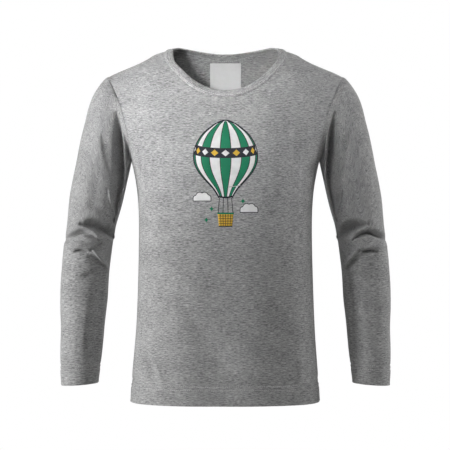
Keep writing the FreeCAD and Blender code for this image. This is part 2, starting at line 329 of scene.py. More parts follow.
# Folds
# Each fold: depth, width of its wall outside or below, width of its wall inside or above, and
# the points (x, z) of its line as seen from the front, on the wearer's left. A line runs down
# or inwards. A depth below zero stands up as a ridge.
SLEEVE_FRONT_FOLDS = (
    (38.0, 13.5, 3.4, ((156, -96), (151.6, -118), (150.4, -134), (149.6, -150), (149.2, -166),
                       (149.6, -184), (152, -205), (157, -228), (161, -250))),
    (-6.0, 3.0, 3.4, ((151, -114), (146.6, -134), (146.4, -154), (145.2, -173), (145.4, -192))),
    (13.0, 3.4, 3.2, ((142.6, -134), (141.4, -146), (142.4, -158), (143.6, -172))),
    (7.0, 3.6, 16.0, ((178.5, -128), (174.8, -146), (171.6, -160), (167, -176), (162, -196))),
    (1.8, 12.0, 13.0, ((188, -176), (187.6, -204), (189, -222), (193.5, -242))),
    (2.4, 8.0, 8.0, ((206, -239), (195, -231), (183, -232), (170, -239))),
    (-13.0, 2.6, 2.8, ((168, -206), (164, -224), (161.2, -240), (160, -255))),
    (-3.0, 4.0, 4.0, ((155, -194), (152, -207), (154, -220))),
    (30.0, 3.2, 15.0, ((207, -256), (198, -257.5), (187, -261), (175, -268), (162, -277),
                       (147, -287))),
    (22.0, 2.4, 7.6, ((262, -287), (236, -279.5), (222, -275), (212, -271), (203, -269), (192, -273),
                     (184, -278))),
    (-8.0, 3.6, 8.0, ((244, -287), (222, -288.2), (206, -289), (192, -289), (181, -283))),
    (9.0, 5.0, 2.2, ((219, -295), (211, -292), (204, -292.4), (196, -296))),
    (2.6, 2.2, 2.2, ((237, -283), (231, -287), (224, -291.5))),
    (7.0, 4.6, 1.8, ((196, -292.5), (187, -287), (178, -280))),
    (-11.0, 2.4, 3.2, ((195, -288), (185, -298.4), (179, -306), (173, -314), (170, -322))),
    (8.0, 8.0, 6.0, ((197, -300), (188.6, -306), (182.5, -312), (175, -320))),
    (4.0, 3.0, 3.4, ((178, -280), (176.6, -292), (172.6, -305))),
    (3.4, 3.4, 7.0, ((210, -332), (196, -328.6), (183, -327), (168, -326))),
    (7.5, 15.0, 6.0, ((176, -316), (180, -350), (184.6, -390), (188, -440), (192, -500))),
)
SLEEVE_BACK_FOLDS = (
    (7.0, 14.0, 8.0, ((162, -104), (160, -150), (158, -190), (158, -226))),
    (7.0, 6.0, 12.0, ((232, -262), (210, -270), (190, -268), (166, -258))),
    (-4.0, 5.0, 9.0, ((234, -278), (212, -285), (190, -284), (168, -274))),
    (5.0, 4.0, 8.0, ((237, -294), (216, -300), (196, -300), (172, -293))),
    (3.0, 8.0, 8.0, ((228, -330), (204, -337), (180, -334))),
    (2.6, 12.0, 12.0, ((205, -380), (206, -430), (207, -490))),
)
# The same on the front and the back of the body.
BODY_FRONT_FOLDS = (
    (3.6, 5.0, 9.0, ((131, -164), (123, -180), (112, -200))),
    (3.0, 14.0, 10.0, ((84, -92), (96, -140), (98, -190), (92, -250), (86, -300))),
    (-1.8, 14.0, 14.0, ((62, -110), (70, -160), (70, -220))),
    (2.4, 6.0, 6.0, ((-114, -438), (-105, -462), (-98, -484))),
    (-1.7, 5.0, 5.0, ((-105, -434), (-96, -458), (-91, -482))),
    (2.6, 16.0, 16.0, ((60, -340), (74, -400), (84, -460), (88, -512))),
    (-2.0, 14.0, 14.0, ((100, -410), (108, -460), (112, -512))),
    (1.8, 18.0, 18.0, ((-60, -360), (-30, -420), (10, -470))),
    (1.6, 14.0, 14.0, ((-128, -172), (-116, -200), (-100, -226))),
)
BODY_BACK_FOLDS = (
    (2.6, 12.0, 12.0, ((70, -90), (84, -130), (92, -170), (94, -210))),
    (2.6, 12.0, 12.0, ((-70, -90), (-84, -130), (-92, -170), (-94, -210))),
    (2.4, 12.0, 18.0, ((66, -262), (28, -284), (-24, -284), (-68, -262))),
    (-1.8, 14.0, 14.0, ((62, -298), (24, -316), (-20, -316), (-60, -296))),
    (2.2, 16.0, 16.0, ((-40, -380), (-52, -440), (-60, -512))),
    (2.2, 16.0, 16.0, ((44, -370), (52, -430), (58, -512))),
)


def to_line(points, line):
    """Distance from each point to a line of straight runs, with a minus inside or above it,
    and the share of the way along it."""
    line = np.asarray(line, float) * MM
    along = lengths_along(line)
    best = np.full(len(points), np.inf)
    side, share = np.zeros(len(points)), np.zeros(len(points))
    for start, end, behind in zip(line[:-1], line[1:], along[:-1]):
        run, away = end - start, points - start
        part = np.clip(away @ run / (run @ run), 0, 1)
        gap = np.linalg.norm(away - part[:, None] * run, axis=1)
        nearer = gap < best
        best = np.where(nearer, gap, best)
        side = np.where(nearer, np.sign(run[0] * away[:, 1] - run[1] * away[:, 0]), side)
        share = np.where(nearer, (behind + part * np.linalg.norm(run)) / along[-1], share)
    return best * side, share


# How sharp a creased fold is: how round its edge and its feet are, and its height before that.
EDGE_ROUND, FOOT_ROUND, CREASE_HIGH = 0.02, 0.012, 1.14
LINE_STEPS = 32


def creased(far):
    """Section of a sharp fold: even walls that meet in an edge, with small rounded corners."""
    high = CREASE_HIGH - np.sqrt(far * far + EDGE_ROUND)
    return (high + np.sqrt(high * high + FOOT_ROUND)) / 2


def rolled(far):
    """Section of a soft fold."""
    return np.exp(-far * far)


def folded(points, folds, section):
    """How far the folds sink each point, seen from the folds' side."""
    flat = points[:, [0, 2]]
    sunk = np.zeros(len(points))
    for depth, below, above, line in folds:
        smooth = through(range(len(line)), line, np.linspace(0, len(line) - 1, LINE_STEPS))
        gap, share = to_line(flat, smooth)
        taper = np.sin(math.pi * np.clip(share, 0.03, 0.97)) ** 0.5
        wide = np.where(gap > 0, below, above) * MM * taper
        sunk += depth * MM * taper * section(np.abs(gap) / wide)
    return sunk * bpy.context.scene.shirt_folds.depth


# Soft waves: their usual width and length on the body, and their width on the sleeves.
WAVE_WIDE, WAVE_LONG, ARM_WAVE = 60 * MM, 140 * MM, 45 * MM
# Height of the waves as a factor on the unevenness: of both, and of the flare towards the hem,
# which begins at this share of the body's length.
BODY_WAVE_HIGH, ARM_WAVE_HIGH, FLARE_HIGH, FLARE_FROM = 1.2, 1.4, 1.1, 0.6
# Each seed moves the noise this far, and the sleeves have a seed of their own.
SEED_SHIFT, ARM_SEED = (7.3, 3.1, 5.7), 9


def waves(points, wide, high, seed):
    """Soft unevenness from noise, the same wherever the same point is asked for."""
    shift = Vector([seed * part for part in SEED_SHIFT])
    return np.array([noise.noise(Vector(p) / wide + shift) for p in points]) * high


def body_relief(points, facing):
    """How far the body's cloth sinks below its filled form, at points of that form."""
    sunk = folded(points, BODY_FRONT_FOLDS if facing > 0 else BODY_BACK_FOLDS, rolled)
    stretched = points * np.array((1, 1, WAVE_WIDE / WAVE_LONG))
    high = bpy.context.scene.shirt_folds.unevenness
    sunk += waves(stretched, WAVE_WIDE, high, 2 + facing) * BODY_WAVE_HIGH
    low = smoothstep(FLARE_FROM, 1.0, -points[:, 2] / BODY_LENGTH)
    around = np.arctan2(points[:, 1], points[:, 0])
    sunk += low * high * FLARE_HIGH * np.sin(5 * around + 0.8) * np.cos(2 * around)
    return sunk


def sleeve_relief(points, normals):
    """How far back the folds push each point of the wearer's left sleeve, and how far it sinks."""
    front = smoothstep(-0.3, 0.3, -normals[:, 1])
    back = folded(points, SLEEVE_FRONT_FOLDS, creased) * front
    back -= folded(points, SLEEVE_BACK_FOLDS, rolled) * (1 - front)
    high = bpy.context.scene.shirt_folds.unevenness * ARM_WAVE_HIGH
    return back, waves(points, ARM_WAVE, high, ARM_SEED)


# Meshes

def grid_faces(rows, columns, flip=False):
    """Quads of a grid of vertices, row by row."""
    at = np.arange(rows * columns).reshape(rows, columns)
    corners = [at[:-1, :-1], at[:-1, 1:], at[1:, 1:], at[1:, :-1]]
    if flip:
        corners.reverse()
    return np.stack(corners, axis=-1).reshape(-1, 4)


def grid_normals(grid):
    """Unit normals of a grid of points, to the right-hand side of rows crossed with columns."""
    return unit(np.cross(np.gradient(grid, axis=1), np.gradient(grid, axis=0)))


def object_of(name, data):
    """A new object in the scene."""
    made = bpy.data.objects.new(name, data)
    bpy.context.scene.collection.objects.link(made)
    return made


def new_object(name, points, faces, uvs=None, materials=()):
    """A smooth mesh object at the origin, with one UV per vertex in metres of cloth."""
    mesh = bpy.data.meshes.new(name)
    mesh.from_pydata([tuple(p) for p in points], [], [tuple(int(i) for i in f) for f in faces])
    if uvs is not None:
        layer = mesh.uv_layers.new(name="cloth")
        corner = np.empty(len(mesh.loops), int)
        mesh.loops.foreach_get("vertex_index", corner)
        layer.data.foreach_set("uv", np.asarray(uvs, np.float32)[corner].ravel())
    mesh.shade_smooth()
    for material in materials:
        mesh.materials.append(material)
    mesh.update()
    return object_of(name, mesh)


def grid_object(name, grid, uvs, material, flip):
    """A sheet from a grid of points."""
    return new_object(name, grid.reshape(-1, 3), grid_faces(*grid.shape[:2], flip=flip),
                      uvs.reshape(-1, 2), [material])


def applied(made):
    """The object with its modifiers made part of its mesh."""
    graph = bpy.context.evaluated_depsgraph_get()
    mesh = bpy.data.meshes.new_from_object(made.evaluated_get(graph))
    made.modifiers.clear()
    old = made.data
    made.data = mesh
    mesh.name = made.name
    bpy.data.meshes.remove(old)
    return made


def thickened(made, thickness, offset=-1):
    """Cloth of a real thickness, from a sheet whose faces point outwards."""
    solid = made.modifiers.new("cloth", "SOLIDIFY")
    solid.thickness = thickness
    solid.offset = offset
    solid.use_even_offset = False
    return applied(made)


def merged(made):
    """The object with the two sides of each closed seam joined."""
    shape = bmesh.new()
    shape.from_mesh(made.data)
    bmesh.ops.remove_doubles(shape, verts=shape.verts, dist=0.01 * MM)
    shape.to_mesh(made.data)
    shape.free()
    return made


def seated(made, slot, *nodes):
    """The piece rides on the shirt and stands for its nodes."""
    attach(made, BODY)
    if nodes:
        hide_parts(*nodes)
    return made


def panel_grid(facing):
    """Grid of theta and drop of the front or back panel, whose rows follow the neck seam at
    the top and the bottom edge below, and whose first and last columns follow the shoulder
    seam, the armhole and the side seam."""
    cut = bpy.context.scene.shirt_cut
    share = np.linspace(-1, 1, SEAM_POINTS)
    neck_theta, neck_drop = neck_line(share, NECK_SEAM, facing)
    neck_length = lengths_along(torso_at(neck_theta, neck_drop, facing))
    bottom = BODY_LENGTH - cut.cloth
    side_drops = np.arange(neck_drop[0], bottom, 0.25 * MM)
    side_length = lengths_along(torso_at(armhole_theta(side_drops), side_drops, facing))
    hem_theta, hem_drop = theta_of(share), np.full(SEAM_POINTS, bottom)
    hem_length = lengths_along(torso_at(hem_theta, hem_drop, facing))

    def steps(total, *seams):
        places = (0, *seams, total)
        return spaced(total, cut.mesh_step, cut.fine_step, places, FINE_REACH)

    total = side_length[-1]
    down = steps(total, total - cut.hem) / total
    across = steps(hem_length[-1])
    across = across / across[-1]

    def edge(length, theta, drops):
        """One edge's share of the way round and drop, at every column."""
        both = read_at(np.stack([theta, drops], axis=1), length, across * length[-1])
        return np.stack([share_of(both[:, 0]), both[:, 1]], axis=-1)

    top = edge(neck_length, neck_theta, neck_drop)
    low = edge(hem_length, hem_theta, hem_drop)
    side_drop = np.interp(down * total, side_length, side_drops)
    right = np.stack([share_of(armhole_theta(side_drop)), side_drop], axis=-1)
    left = right * (-1, 1)
    u, v = across[None, :, None], down[:, None, None]
    grid = (1 - v) * top[None] + v * low[None] + (1 - u) * left[:, None] + u * right[:, None]
    grid -= (1 - v) * ((1 - u) * top[0] + u * top[-1]) + v * ((1 - u) * low[0] + u * low[-1])
    return theta_of(grid[..., 0]), grid[..., 1]


def cloth_uv(theta, drop, facing):
    """Place on the flat cloth: round the body from the middle, and down from the neck point."""
    steps = np.linspace(0, 1, 48)
    turns = theta[..., None] * steps
    points = torso_at(turns, np.broadcast_to(drop[..., None], turns.shape), facing)
    around = np.linalg.norm(np.diff(points, axis=-2), axis=-1).sum(axis=-1) * np.sign(theta)
    middle = torso_at(np.zeros_like(FINE_DROPS), FINE_DROPS, facing)
    down = np.interp(drop, FINE_DROPS, lengths_along(middle))
    return np.stack([around, -down], axis=-1)


def edge_gap(points, lines):
    """Distance of each point from the nearest of some lines."""
    ends = [point for line in lines for point in line]
    tree = KDTree(len(ends))
    for number, point in enumerate(ends):
        tree.insert(point, number)
    tree.balance()
    return np.array([tree.find(p)[2] for p in points])


# Fine steps reach this far from a seam or a stitched line, and so does a hem's swelling, with
# a soft pinch above it.
FINE_REACH = 5 * MM
PINCH, PINCH_WIDE = 1.2, 3 * MM
# Relief fades out this far from the seams of the panels, the sleeve's head and its own seam.
PANEL_FADE, HEAD_FADE, ARM_SEAM_FADE = 22 * MM, 14 * MM, 8 * MM
# The cloth's dip beside a seam, and its dents under a row of stitches: half widths and depths.
DIP_WIDE, DENT_WIDE = 1.9 * MM, 1.5 * MM
PANEL_DENT, CUFF_DENT = 1.0 * MM, 0.8 * MM
PANEL_DIP, HEAD_DIP = 0.5, 0.25
# How far a turned hem stands out.
HEM_ROLL, CUFF_ROLL = 0.7 * MM, 0.4 * MM


def dips(cut, gap):
    """How far cloth sinks beside a seam that is gap away."""
    return cut.seam_dip * bell(gap, DIP_WIDE)


def dents(above):
    """Share of the depth of both stitched rows' dents, this far above the upper row."""
    twin = bpy.context.scene.shirt_stitches.twin
    return bell(above, DENT_WIDE) + bell(above + twin, DENT_WIDE)


# The shoulders are evened out fully down to the first drop and not at all below the second, in
# this many rounds, each with this share of the way to the neighbours' middle.
SOFT_DROPS, SOFT_ROUNDS, SOFT_STEP = (70 * MM, 130 * MM), 90, 0.8


def softened(base, share, rounds):
    """A grid of points with its bends evened out by a share that differs from place to place.
    Its edges stay where they are."""
    soft = base.copy()
    inner = share[1:-1, 1:-1, None] * SOFT_STEP
    for _ in range(rounds):
        near = soft[:-2, 1:-1] + soft[2:, 1:-1] + soft[1:-1, :-2] + soft[1:-1, 2:]
        soft[1:-1, 1:-1] += inner * (near / 4 - soft[1:-1, 1:-1])
    return soft


def build_panel(name, facing, material):
    """The front or the back of the body."""
    cut = bpy.context.scene.shirt_cut
    theta, drop = panel_grid(facing)
    base = torso_at(theta, drop, facing)
    base = softened(base, 1 - smoothstep(*SOFT_DROPS, drop), SOFT_ROUNDS)
    points = base.reshape(-1, 3)
    sunk = body_relief(points, facing).reshape(theta.shape)
    gap = edge_gap(points, [base[0], base[:, 0], base[:, -1]]).reshape(theta.shape)
    above = BODY_LENGTH - cut.hem - drop
    swell = smoothstep(0, FINE_REACH, -above) - PINCH * bell(above - FINE_REACH, PINCH_WIDE)
    sunk = sunk * smoothstep(0, PANEL_FADE, gap) + PANEL_DIP * dips(cut, gap)
    sunk = sunk + PANEL_DENT * dents(above) - HEM_ROLL * swell
    made = grid_object(name, base + grid_normals(base) * facing * sunk[..., None],
                       cloth_uv(theta, drop, facing), material, flip=facing > 0)
    return thickened(made, cut.cloth)


# The wearer's left sleeve, in rings from the armhole to the cuff.
# Each row: outer x and z, inner x and z, half depth, and how far back its middle lies.
SLEEVE_RINGS = np.array((
    (178.4, -44.2, 137.3, -162.5, 45.5, 8.5),
    (194, -68, 138.3, -166, 46.3, 8),
    (204.4, -103, 140.3, -175, 46.5, 8),
    (210, -126, 143, -188, 46.5, 7.8),
    (220.5, -173, 150.5, -223, 45.5, 7.2),
    (227.8, -220, 160, -257, 44, 6.2),
    (233.6, -266, 165, -284, 42, 4.7),
    (238, -313, 169.5, -322, 39.5, 2.5),
    (241, -360, 172.2, -364, 38, -0.5),
    (240, -407, 177, -409, 35.5, -4.5),
    (239.4, -453, 181, -452, 32.5, -9.5),
    (237, -488, 184.6, -484.5, 30, -14),
)) * MM
# A ring's section is an oval of this power, a little squarer than a circle's 2.
ROUND_ARM = 2.1
ARM_POWER = 2 / ROUND_ARM
# Columns round a sleeve, and its rows' step as a share of the usual one.
ARM_COLUMNS, ARM_STEP = 180, 0.8
# How much closer together the columns stand in front, where most of the folds are.
FRONT_SHARE = 0.35
# Folds lose this share of their depth towards the cuff and towards the armhole. They begin to
# lose it this far above the cuff's edge, and they rise from nothing in this length below the
# armhole.
STILL_SHARE, CUFF_FADE, FOLD_FADE = 0.65, 70 * MM, 10 * MM


def armhole_loop(turn):
    """Points of the armhole seam. Turn 0 is the shoulder tip and half a turn is the armpit."""
    drops = np.linspace(SHOULDER_TIP, ARMPIT, 500)
    loop = np.empty((len(turn), 3))
    for facing in (1, -1):
        line = torso_at(armhole_theta(drops), drops, facing)
        along = lengths_along(line)
        mine = turn >= 0 if facing > 0 else turn < 0
        loop[mine] = read_at(line, along, np.abs(turn[mine]) / math.pi * along[-1])
    return loop


def arm_ring(row, turn):
    """One ring of the sleeve. The front is at positive turns."""
    outer, inner = np.array((row[0], 0, row[1])), np.array((row[2], 0, row[3]))
    middle, across = (outer + inner) / 2, (outer - inner) / 2
    points = middle + swollen(np.cos(turn), ARM_POWER)[:, None] * across
    points[:, 1] = row[5] - swollen(np.sin(turn), ARM_POWER) * row[4]
    return points


def sleeve_grid():
    """Points of the left sleeve's filled form, its normals, and each row's place along it."""
    cut = bpy.context.scene.shirt_cut
    turn = np.linspace(-math.pi, math.pi, ARM_COLUMNS + 1)
    turn = turn + FRONT_SHARE * (np.cos(turn) + 1)
    rings = np.array([armhole_loop(turn)] + [arm_ring(row, turn) for row in SLEEVE_RINGS])
    steps = np.linalg.norm(np.diff(rings, axis=0), axis=2).mean(axis=1)
    keys = np.insert(np.cumsum(steps), 0, 0)
    seams = (0, keys[-1] - cut.cuff, keys[-1])
    down = spaced(keys[-1], cut.mesh_step * ARM_STEP, cut.fine_step, seams, FINE_REACH)
    grid = through(keys, rings.reshape(len(rings), -1), down).reshape(len(down), -1, 3)
    closed = np.concatenate([grid[:, -2:-1], grid, grid[:, 1:2]], axis=1)
    normals = grid_normals(closed)[:, 1:-1]
    normals *= np.sign((normals * (grid - grid.mean(axis=1, keepdims=True))).sum())
    return grid, normals, down


def sleeve_surface():
    """The left sleeve as worn: its points, normals and places along."""
    cut = bpy.context.scene.shirt_cut
    grid, normals, down = sleeve_grid()
    back, sunk = sleeve_relief(grid.reshape(-1, 3), normals.reshape(-1, 3))
    back, sunk = back.reshape(grid.shape[:2]), sunk.reshape(grid.shape[:2])
    seam = np.minimum(lengths_along(grid, 1), lengths_along(grid[:, ::-1], 1)[:, ::-1])
    along = np.broadcast_to(down[:, None], seam.shape)
    above = (down[-1] - cut.cuff) - along
    head = smoothstep(0, HEAD_FADE, along)
    still = head * smoothstep(0, CUFF_FADE, down[-1] - along)
    back = back * smoothstep(0, FOLD_FADE, along) * (1 - STILL_SHARE + STILL_SHARE * still)
    sunk = sunk * (head * smoothstep(0, ARM_SEAM_FADE, seam))
    sunk = sunk + HEAD_DIP * dips(cut, along) + dips(cut, seam)
    sunk = sunk + CUFF_DENT * dents(above) - CUFF_ROLL * smoothstep(0, FINE_REACH, -above)
    points = grid - normals * sunk[..., None]
    points[..., 1] += back
    worn = grid_normals(points)
    return points, worn * np.sign((worn * normals).sum()), down


# Where the sleeves and the bands lie across the flat cloth, in metres.
SLEEVE_PLACES, BAND_PLACE = {1: 1.5, -1: 2.5}, 3.5


def build_sleeve(name, side, material):
    """A whole sleeve. Its flat cloth runs across from the middle and up from the cuff, and both
    sleeves lie at places of their own, so that their marl differs."""
    points, normals, down = sleeve_surface()
    across = lengths_along(points, 1)
    across = across - across[:, points.shape[1] // 2, None]
    place = across + SLEEVE_PLACES[side]
    above_cuff = lengths_along(points[::-1])[::-1]
    made = grid_object(name, points * (side, 1, 1), np.stack([place, above_cuff], axis=-1),
                       material, flip=side < 0)
    return thickened(merged(made), bpy.context.scene.shirt_cut.cloth)


# Each row of a turned hem: up from the edge, and out from the cloth's outer face.
HEM_PROFILE = np.array((
    (3.6, -0.25),
    (2.4, 0.1),
    (1.0, 0.2),
    (0.2, -0.15),
    (-0.1, -0.9),
    (0.2, -1.7),
    (1.1, -2.1),
    (3.0, -2.2),
    (8.0, -2.2),
    (14.0, -2.2),
    (20.0, -2.2),
    (25.0, -2.1),
    (28.6, -2.0),
)) * MM
# Thickness of the turned cloth, columns of half a hem, and half a panel's width at the hem.
TURNED = 0.7 * MM
HEM_COLUMNS = 161
HALF_PANEL = 190 * MM
# At a seam the lip sinks by this share of the cloth's dip, up to this height.
LIP_DIP, LIP_HIGH = 0.4, 2 * MM
# A cuff's turned cloth stands this much further out than the body's.
CUFF_CLEAR = 0.1 * MM


def body_hem(name, material):
    """The turned bottom hem: a lip round the edge, and a band inside up to the stitches."""
    cut = bpy.context.scene.shirt_cut
    share = np.linspace(-1, 1, HEM_COLUMNS)
    seam = (1 - np.abs(share)) * HALF_PANEL
    rows = []
    for up, out in HEM_PROFILE:
        halves = []
        for facing in (1, -1):
            base = torso_at(theta_of(share), np.full(HEM_COLUMNS, BODY_LENGTH - up), facing)
            relief = body_relief(base, facing) * smoothstep(0, PANEL_FADE, seam)
            relief += dips(cut, seam) * (1 if up > LIP_HIGH else LIP_DIP)
            normal = unit(np.cross(np.gradient(base, axis=0), (0, 0, 1)) * facing)
            normal *= np.sign((normal * base).sum())
            part = base + normal * (out + HEM_ROLL - relief)[:, None]
            halves.append(part[::facing])
        rows.append(np.concatenate([halves[0][:-1], halves[1]]))
    return closed_band(name, rows, material, flip=True)


def closed_band(name, rows, material, flip):
    """A strip whose last column meets its first, on a place of its own on the flat cloth."""
    grid = np.array(rows)
    across, down = lengths_along(grid[0]), lengths_along(grid[:, 0])
    uvs = np.stack(np.meshgrid(across + BAND_PLACE, -down), axis=-1)
    return merged(grid_object(name, grid, uvs, material, flip))


def cuff_hem(name, side, material):
    """The turned hem of one cuff, made as the body's."""
    grid, normals, down = sleeve_surface()
    rows = []
    for up, out in HEM_PROFILE:
        place = down[-1] - max(up, 0)
        point = row_at(grid, down, place) + row_at(normals, down, place) * (out + CUFF_CLEAR)
        point[:, 2] -= min(up, 0)
        rows.append(point * (side, 1, 1))
    return closed_band(name, rows, material, flip=side < 0)


def neck_loop(oval):
    """Points round the whole neck seam or edge, from the wearer's right over the front."""
    share = np.linspace(-1, 1, SEAM_POINTS)
    front, back = (torso_at(*neck_line(share, oval, facing), facing) for facing in (1, -1))
    return np.concatenate([front[:-1], back[::-1]])


def rounded(line, reach):
    """A closed line with its small kinks evened out over reach points."""
    body = line[:-1]
    kernel = np.hanning(2 * reach + 3)[1:-1]
    kernel /= kernel.sum()
    wrapped = np.concatenate([body[-reach:], body, body[:reach]])
    smooth = np.stack([np.convolve(wrapped[:, i], kernel, "valid") for i in range(3)], axis=1)
    return np.concatenate([smooth, smooth[:1]])


# Each row of the folded neck rib: share of the way from the seam to the edge, and share of
# the half thickness it stands out.
RIB_PROFILE = (
    (-0.1, -0.9), (-0.05, -0.3), (-0.015, 0.6), (0.02, 0.95), (0.08, 1.2), (0.2, 1.34),
    (0.36, 1.32), (0.52, 1.28), (0.68, 1.2), (0.8, 1.1), (0.9, 0.92), (0.965, 0.55), (1.0, 0.0),
    (0.965, -0.55), (0.9, -0.9), (0.8, -1.0), (0.62, -1.05), (0.44, -1.05), (0.26, -1.0),
    (0.1, -0.95), (-0.04, -0.9), (-0.16, -0.9),
)
RIB_COLUMNS_PER_WALE = 6
RIB_KINK = 24


def rib_frame():
    """Seam and edge of the neck rib as matching closed lines, and the way out between them."""
    rough = neck_loop(NECK_SEAM)
    along = lengths_along(rough)
    wales = int(round(along[-1] / bpy.context.scene.shirt_cut.rib_pitch))
    places = np.linspace(0, along[-1], wales * RIB_COLUMNS_PER_WALE + 1)
    seam, edge = (rounded(read_at(line, along, places), RIB_KINK)
                  for line in (rough, neck_loop(NECK_EDGE)))
    out = unit(np.cross(edge - seam, np.gradient(seam, axis=0)))
    return seam, edge, out * np.sign(out[:, 2].sum()), wales


def neck_rib(name, material):
    """The folded rib: its profile swept round the neck, with a ridge for each wale."""
    cut = bpy.context.scene.shirt_cut
    seam, edge, out, wales = rib_frame()
    turn = np.linspace(0, 2 * math.pi * wales, len(seam))
    rows = []
    for share, high in RIB_PROFILE:
        wale = cut.rib_relief * np.cos(turn) * math.copysign(1, high)
        stand = high * cut.rib_thickness / 2 + wale * min(1, abs(high))
        rows.append(seam + (edge - seam) * share + out * stand[:, None])
    return closed_band(name, rows, material, flip=False)


def surface_tree(*names):
    """A search tree of the faces of some pieces."""
    points, faces = [], []
    for mesh in (bpy.data.objects[name].data for name in names):
        start = len(points)
        points += [v.co.copy() for v in mesh.vertices]
        faces += [[start + i for i in f.vertices] for f in mesh.polygons]
    return BVHTree.FromPolygons(points, faces)


# Stitches

# A Mix node's socket 0 is its factor, 2 and 3 are its two values, and 6 and 7 its two colours.
def plug(tree, node, links=None, sets=None):
    """Sets the values of a node's sockets and links them."""
    for key, value in (sets or {}).items():
        node.inputs[key].default_value = value
    for key, socket in (links or {}).items():
        tree.links.new(socket, node.inputs[key])
    return node


def put(tree, kind, links=None, sets=None, **settings):
    """A new node with its settings, its sockets' values and its links."""
    made = tree.nodes.new(kind)
    for key, value in settings.items():
        setattr(made, key, value)
    return plug(tree, made, links, sets)


def stitch_tree():
    """Geometry Nodes: a line of edges becomes a row of sewn stitches."""
    tree = bpy.data.node_groups.new("stitch row", "GeometryNodeTree")
    face = tree.interface
    face.new_socket("Geometry", in_out="INPUT", socket_type="NodeSocketGeometry")
    for name, kind in (("Stitch length", "Float"), ("Stitch gap", "Float"), ("Thread", "Float"),
                       ("Seed", "Int"), ("Material", "Material")):
        face.new_socket(name, in_out="INPUT", socket_type="NodeSocket" + kind)
    face.new_socket("Geometry", in_out="OUTPUT", socket_type="NodeSocketGeometry")
    given = put(tree, "NodeGroupInput").outputs
    curve = put(tree, "GeometryNodeMeshToCurve", {"Mesh": given["Geometry"]})
    pitch = put(tree, "ShaderNodeMath", {0: given["Stitch length"], 1: given["Stitch gap"]},
                operation="ADD")
    points = put(tree, "GeometryNodeCurveToPoints",
                 {"Curve": curve.outputs[0], "Length": pitch.outputs[0]}, mode="LENGTH")
    uneven = put(tree, "FunctionNodeRandomValue", {"Seed": given["Seed"]},
                 sets={2: 0.88, 3: 1.08}, data_type="FLOAT")
    half = put(tree, "ShaderNodeMath", {0: given["Stitch length"]}, {1: 0.5}, operation="MULTIPLY")
    long = put(tree, "ShaderNodeMath", {0: half.outputs[0], 1: uneven.outputs[1]},
               operation="MULTIPLY")
    size = put(tree, "ShaderNodeCombineXYZ",
               {"X": long.outputs[0], "Y": given["Thread"], "Z": given["Thread"]})
    along = put(tree, "FunctionNodeAlignRotationToVector", {"Vector": points.outputs["Tangent"]},
                axis="X")
    bead = put(tree, "GeometryNodeMeshUVSphere", sets={"Segments": 6, "Rings": 4, "Radius": 1})
    smooth = put(tree, "GeometryNodeSetShadeSmooth", {"Geometry": bead.outputs["Mesh"]})
    many = put(tree, "GeometryNodeInstanceOnPoints", {
        "Points": points.outputs["Points"], "Instance": smooth.outputs[0],
        "Rotation": along.outputs[0], "Scale": size.outputs[0]})
    real = put(tree, "GeometryNodeRealizeInstances", {"Geometry": many.outputs[0]})
    coloured = put(tree, "GeometryNodeSetMaterial",
                   {"Geometry": real.outputs[0], "Material": given["Material"]})
    put(tree, "NodeGroupOutput", {0: coloured.outputs[0]})
    return tree


def stitch_rows(name, lines, slot):
    """Rows of stitches along lines of points, as one plain mesh in the finish of the thread."""
    sewing, material = bpy.context.scene.shirt_stitches, finish_of("thread")
    points, edges = [], []
    for line in lines:
        start = len(points)
        points += [tuple(p) for p in line]
        edges += [(start + i, start + i + 1) for i in range(len(line) - 1)]
    mesh = bpy.data.meshes.new(name)
    mesh.from_pydata(points, edges, [])
    made = object_of(name, mesh)
    rows = made.modifiers.new("stitches", "NODES")
    rows.node_group = bpy.data.node_groups.get("stitch row") or stitch_tree()
    wanted = {"Stitch length": sewing.length, "Stitch gap": sewing.gap, "Thread": sewing.thread,
              "Seed": sewing.seed, "Material": material}
    for item in rows.node_group.interface.items_tree:
        if item.in_out == "INPUT" and item.name in wanted:
            rows[item.identifier] = wanted[item.name]
    applied(made)
    made.data.materials.clear()
    made.data.materials.append(material)
    return seated(made, slot)


def laid_on(tree, line, lift):
    """A line moved onto the nearest surface and lifted off it."""
    found = []
    for point in line:
        place, normal, _, _ = tree.find_nearest(Vector(point))
        found.append(np.array(place + normal * lift))
    return np.array(found)


def ring_on_body(drop):
    """A level line right round the filled body, from the wearer's right over the front."""
    theta = theta_of(np.linspace(-1, 1, 200))
    front, back = (torso_at(theta, np.full(200, drop), facing) for facing in (1, -1))
    return np.concatenate([front, back[::-1][1:]])


def sleeve_line(above, side):
    """A line round the sleeve, this far above the cuff's edge."""
    grid, normals, down = sleeve_surface()
    return row_at(grid, down, down[-1] - above) * (side, 1, 1)


# The middle of a thread lies this far above the cloth, and half as far above the rib.
THREAD_LIFT = 0.1 * MM
# From the seam to the neck's rows of stitches outside and inside, and how far from the rib the
# search for its face begins.
OUTER_ROW, INNER_ROW, RIB_CLEAR = 1.9 * MM, 1.5 * MM, 3 * MM


def neck_stitch_lines():
    """A line outside along the whole neck seam, and one inside along the back of it."""
    rib = surface_tree("neck_rib_knit")
    seam, edge, out, wales = rib_frame()
    inward = unit(edge - seam)
    outer = seam + inward * OUTER_ROW + out * RIB_CLEAR
    inner = (seam + inward * INNER_ROW - out * RIB_CLEAR)[len(seam) // 2:]
    return [laid_on(rib, line[::4], THREAD_LIFT / 2) for line in (outer, inner)]


# Materials

# A Wave texture of scale 1 has its bands this many metres apart.
BAND_PITCH = math.pi / 10


def material_tree(name):
    """A new material, which has one principled shader, and its tree of nodes."""
    made = bpy.data.materials.new(name)
    made.use_nodes = True
    return made, made.node_tree


def shaded(made, links, sets):
    """The material, with these links and values on its shader."""
    tree = made.node_tree
    plug(tree, next(n for n in tree.nodes if n.type == "BSDF_PRINCIPLED"), links, sets)
    return made


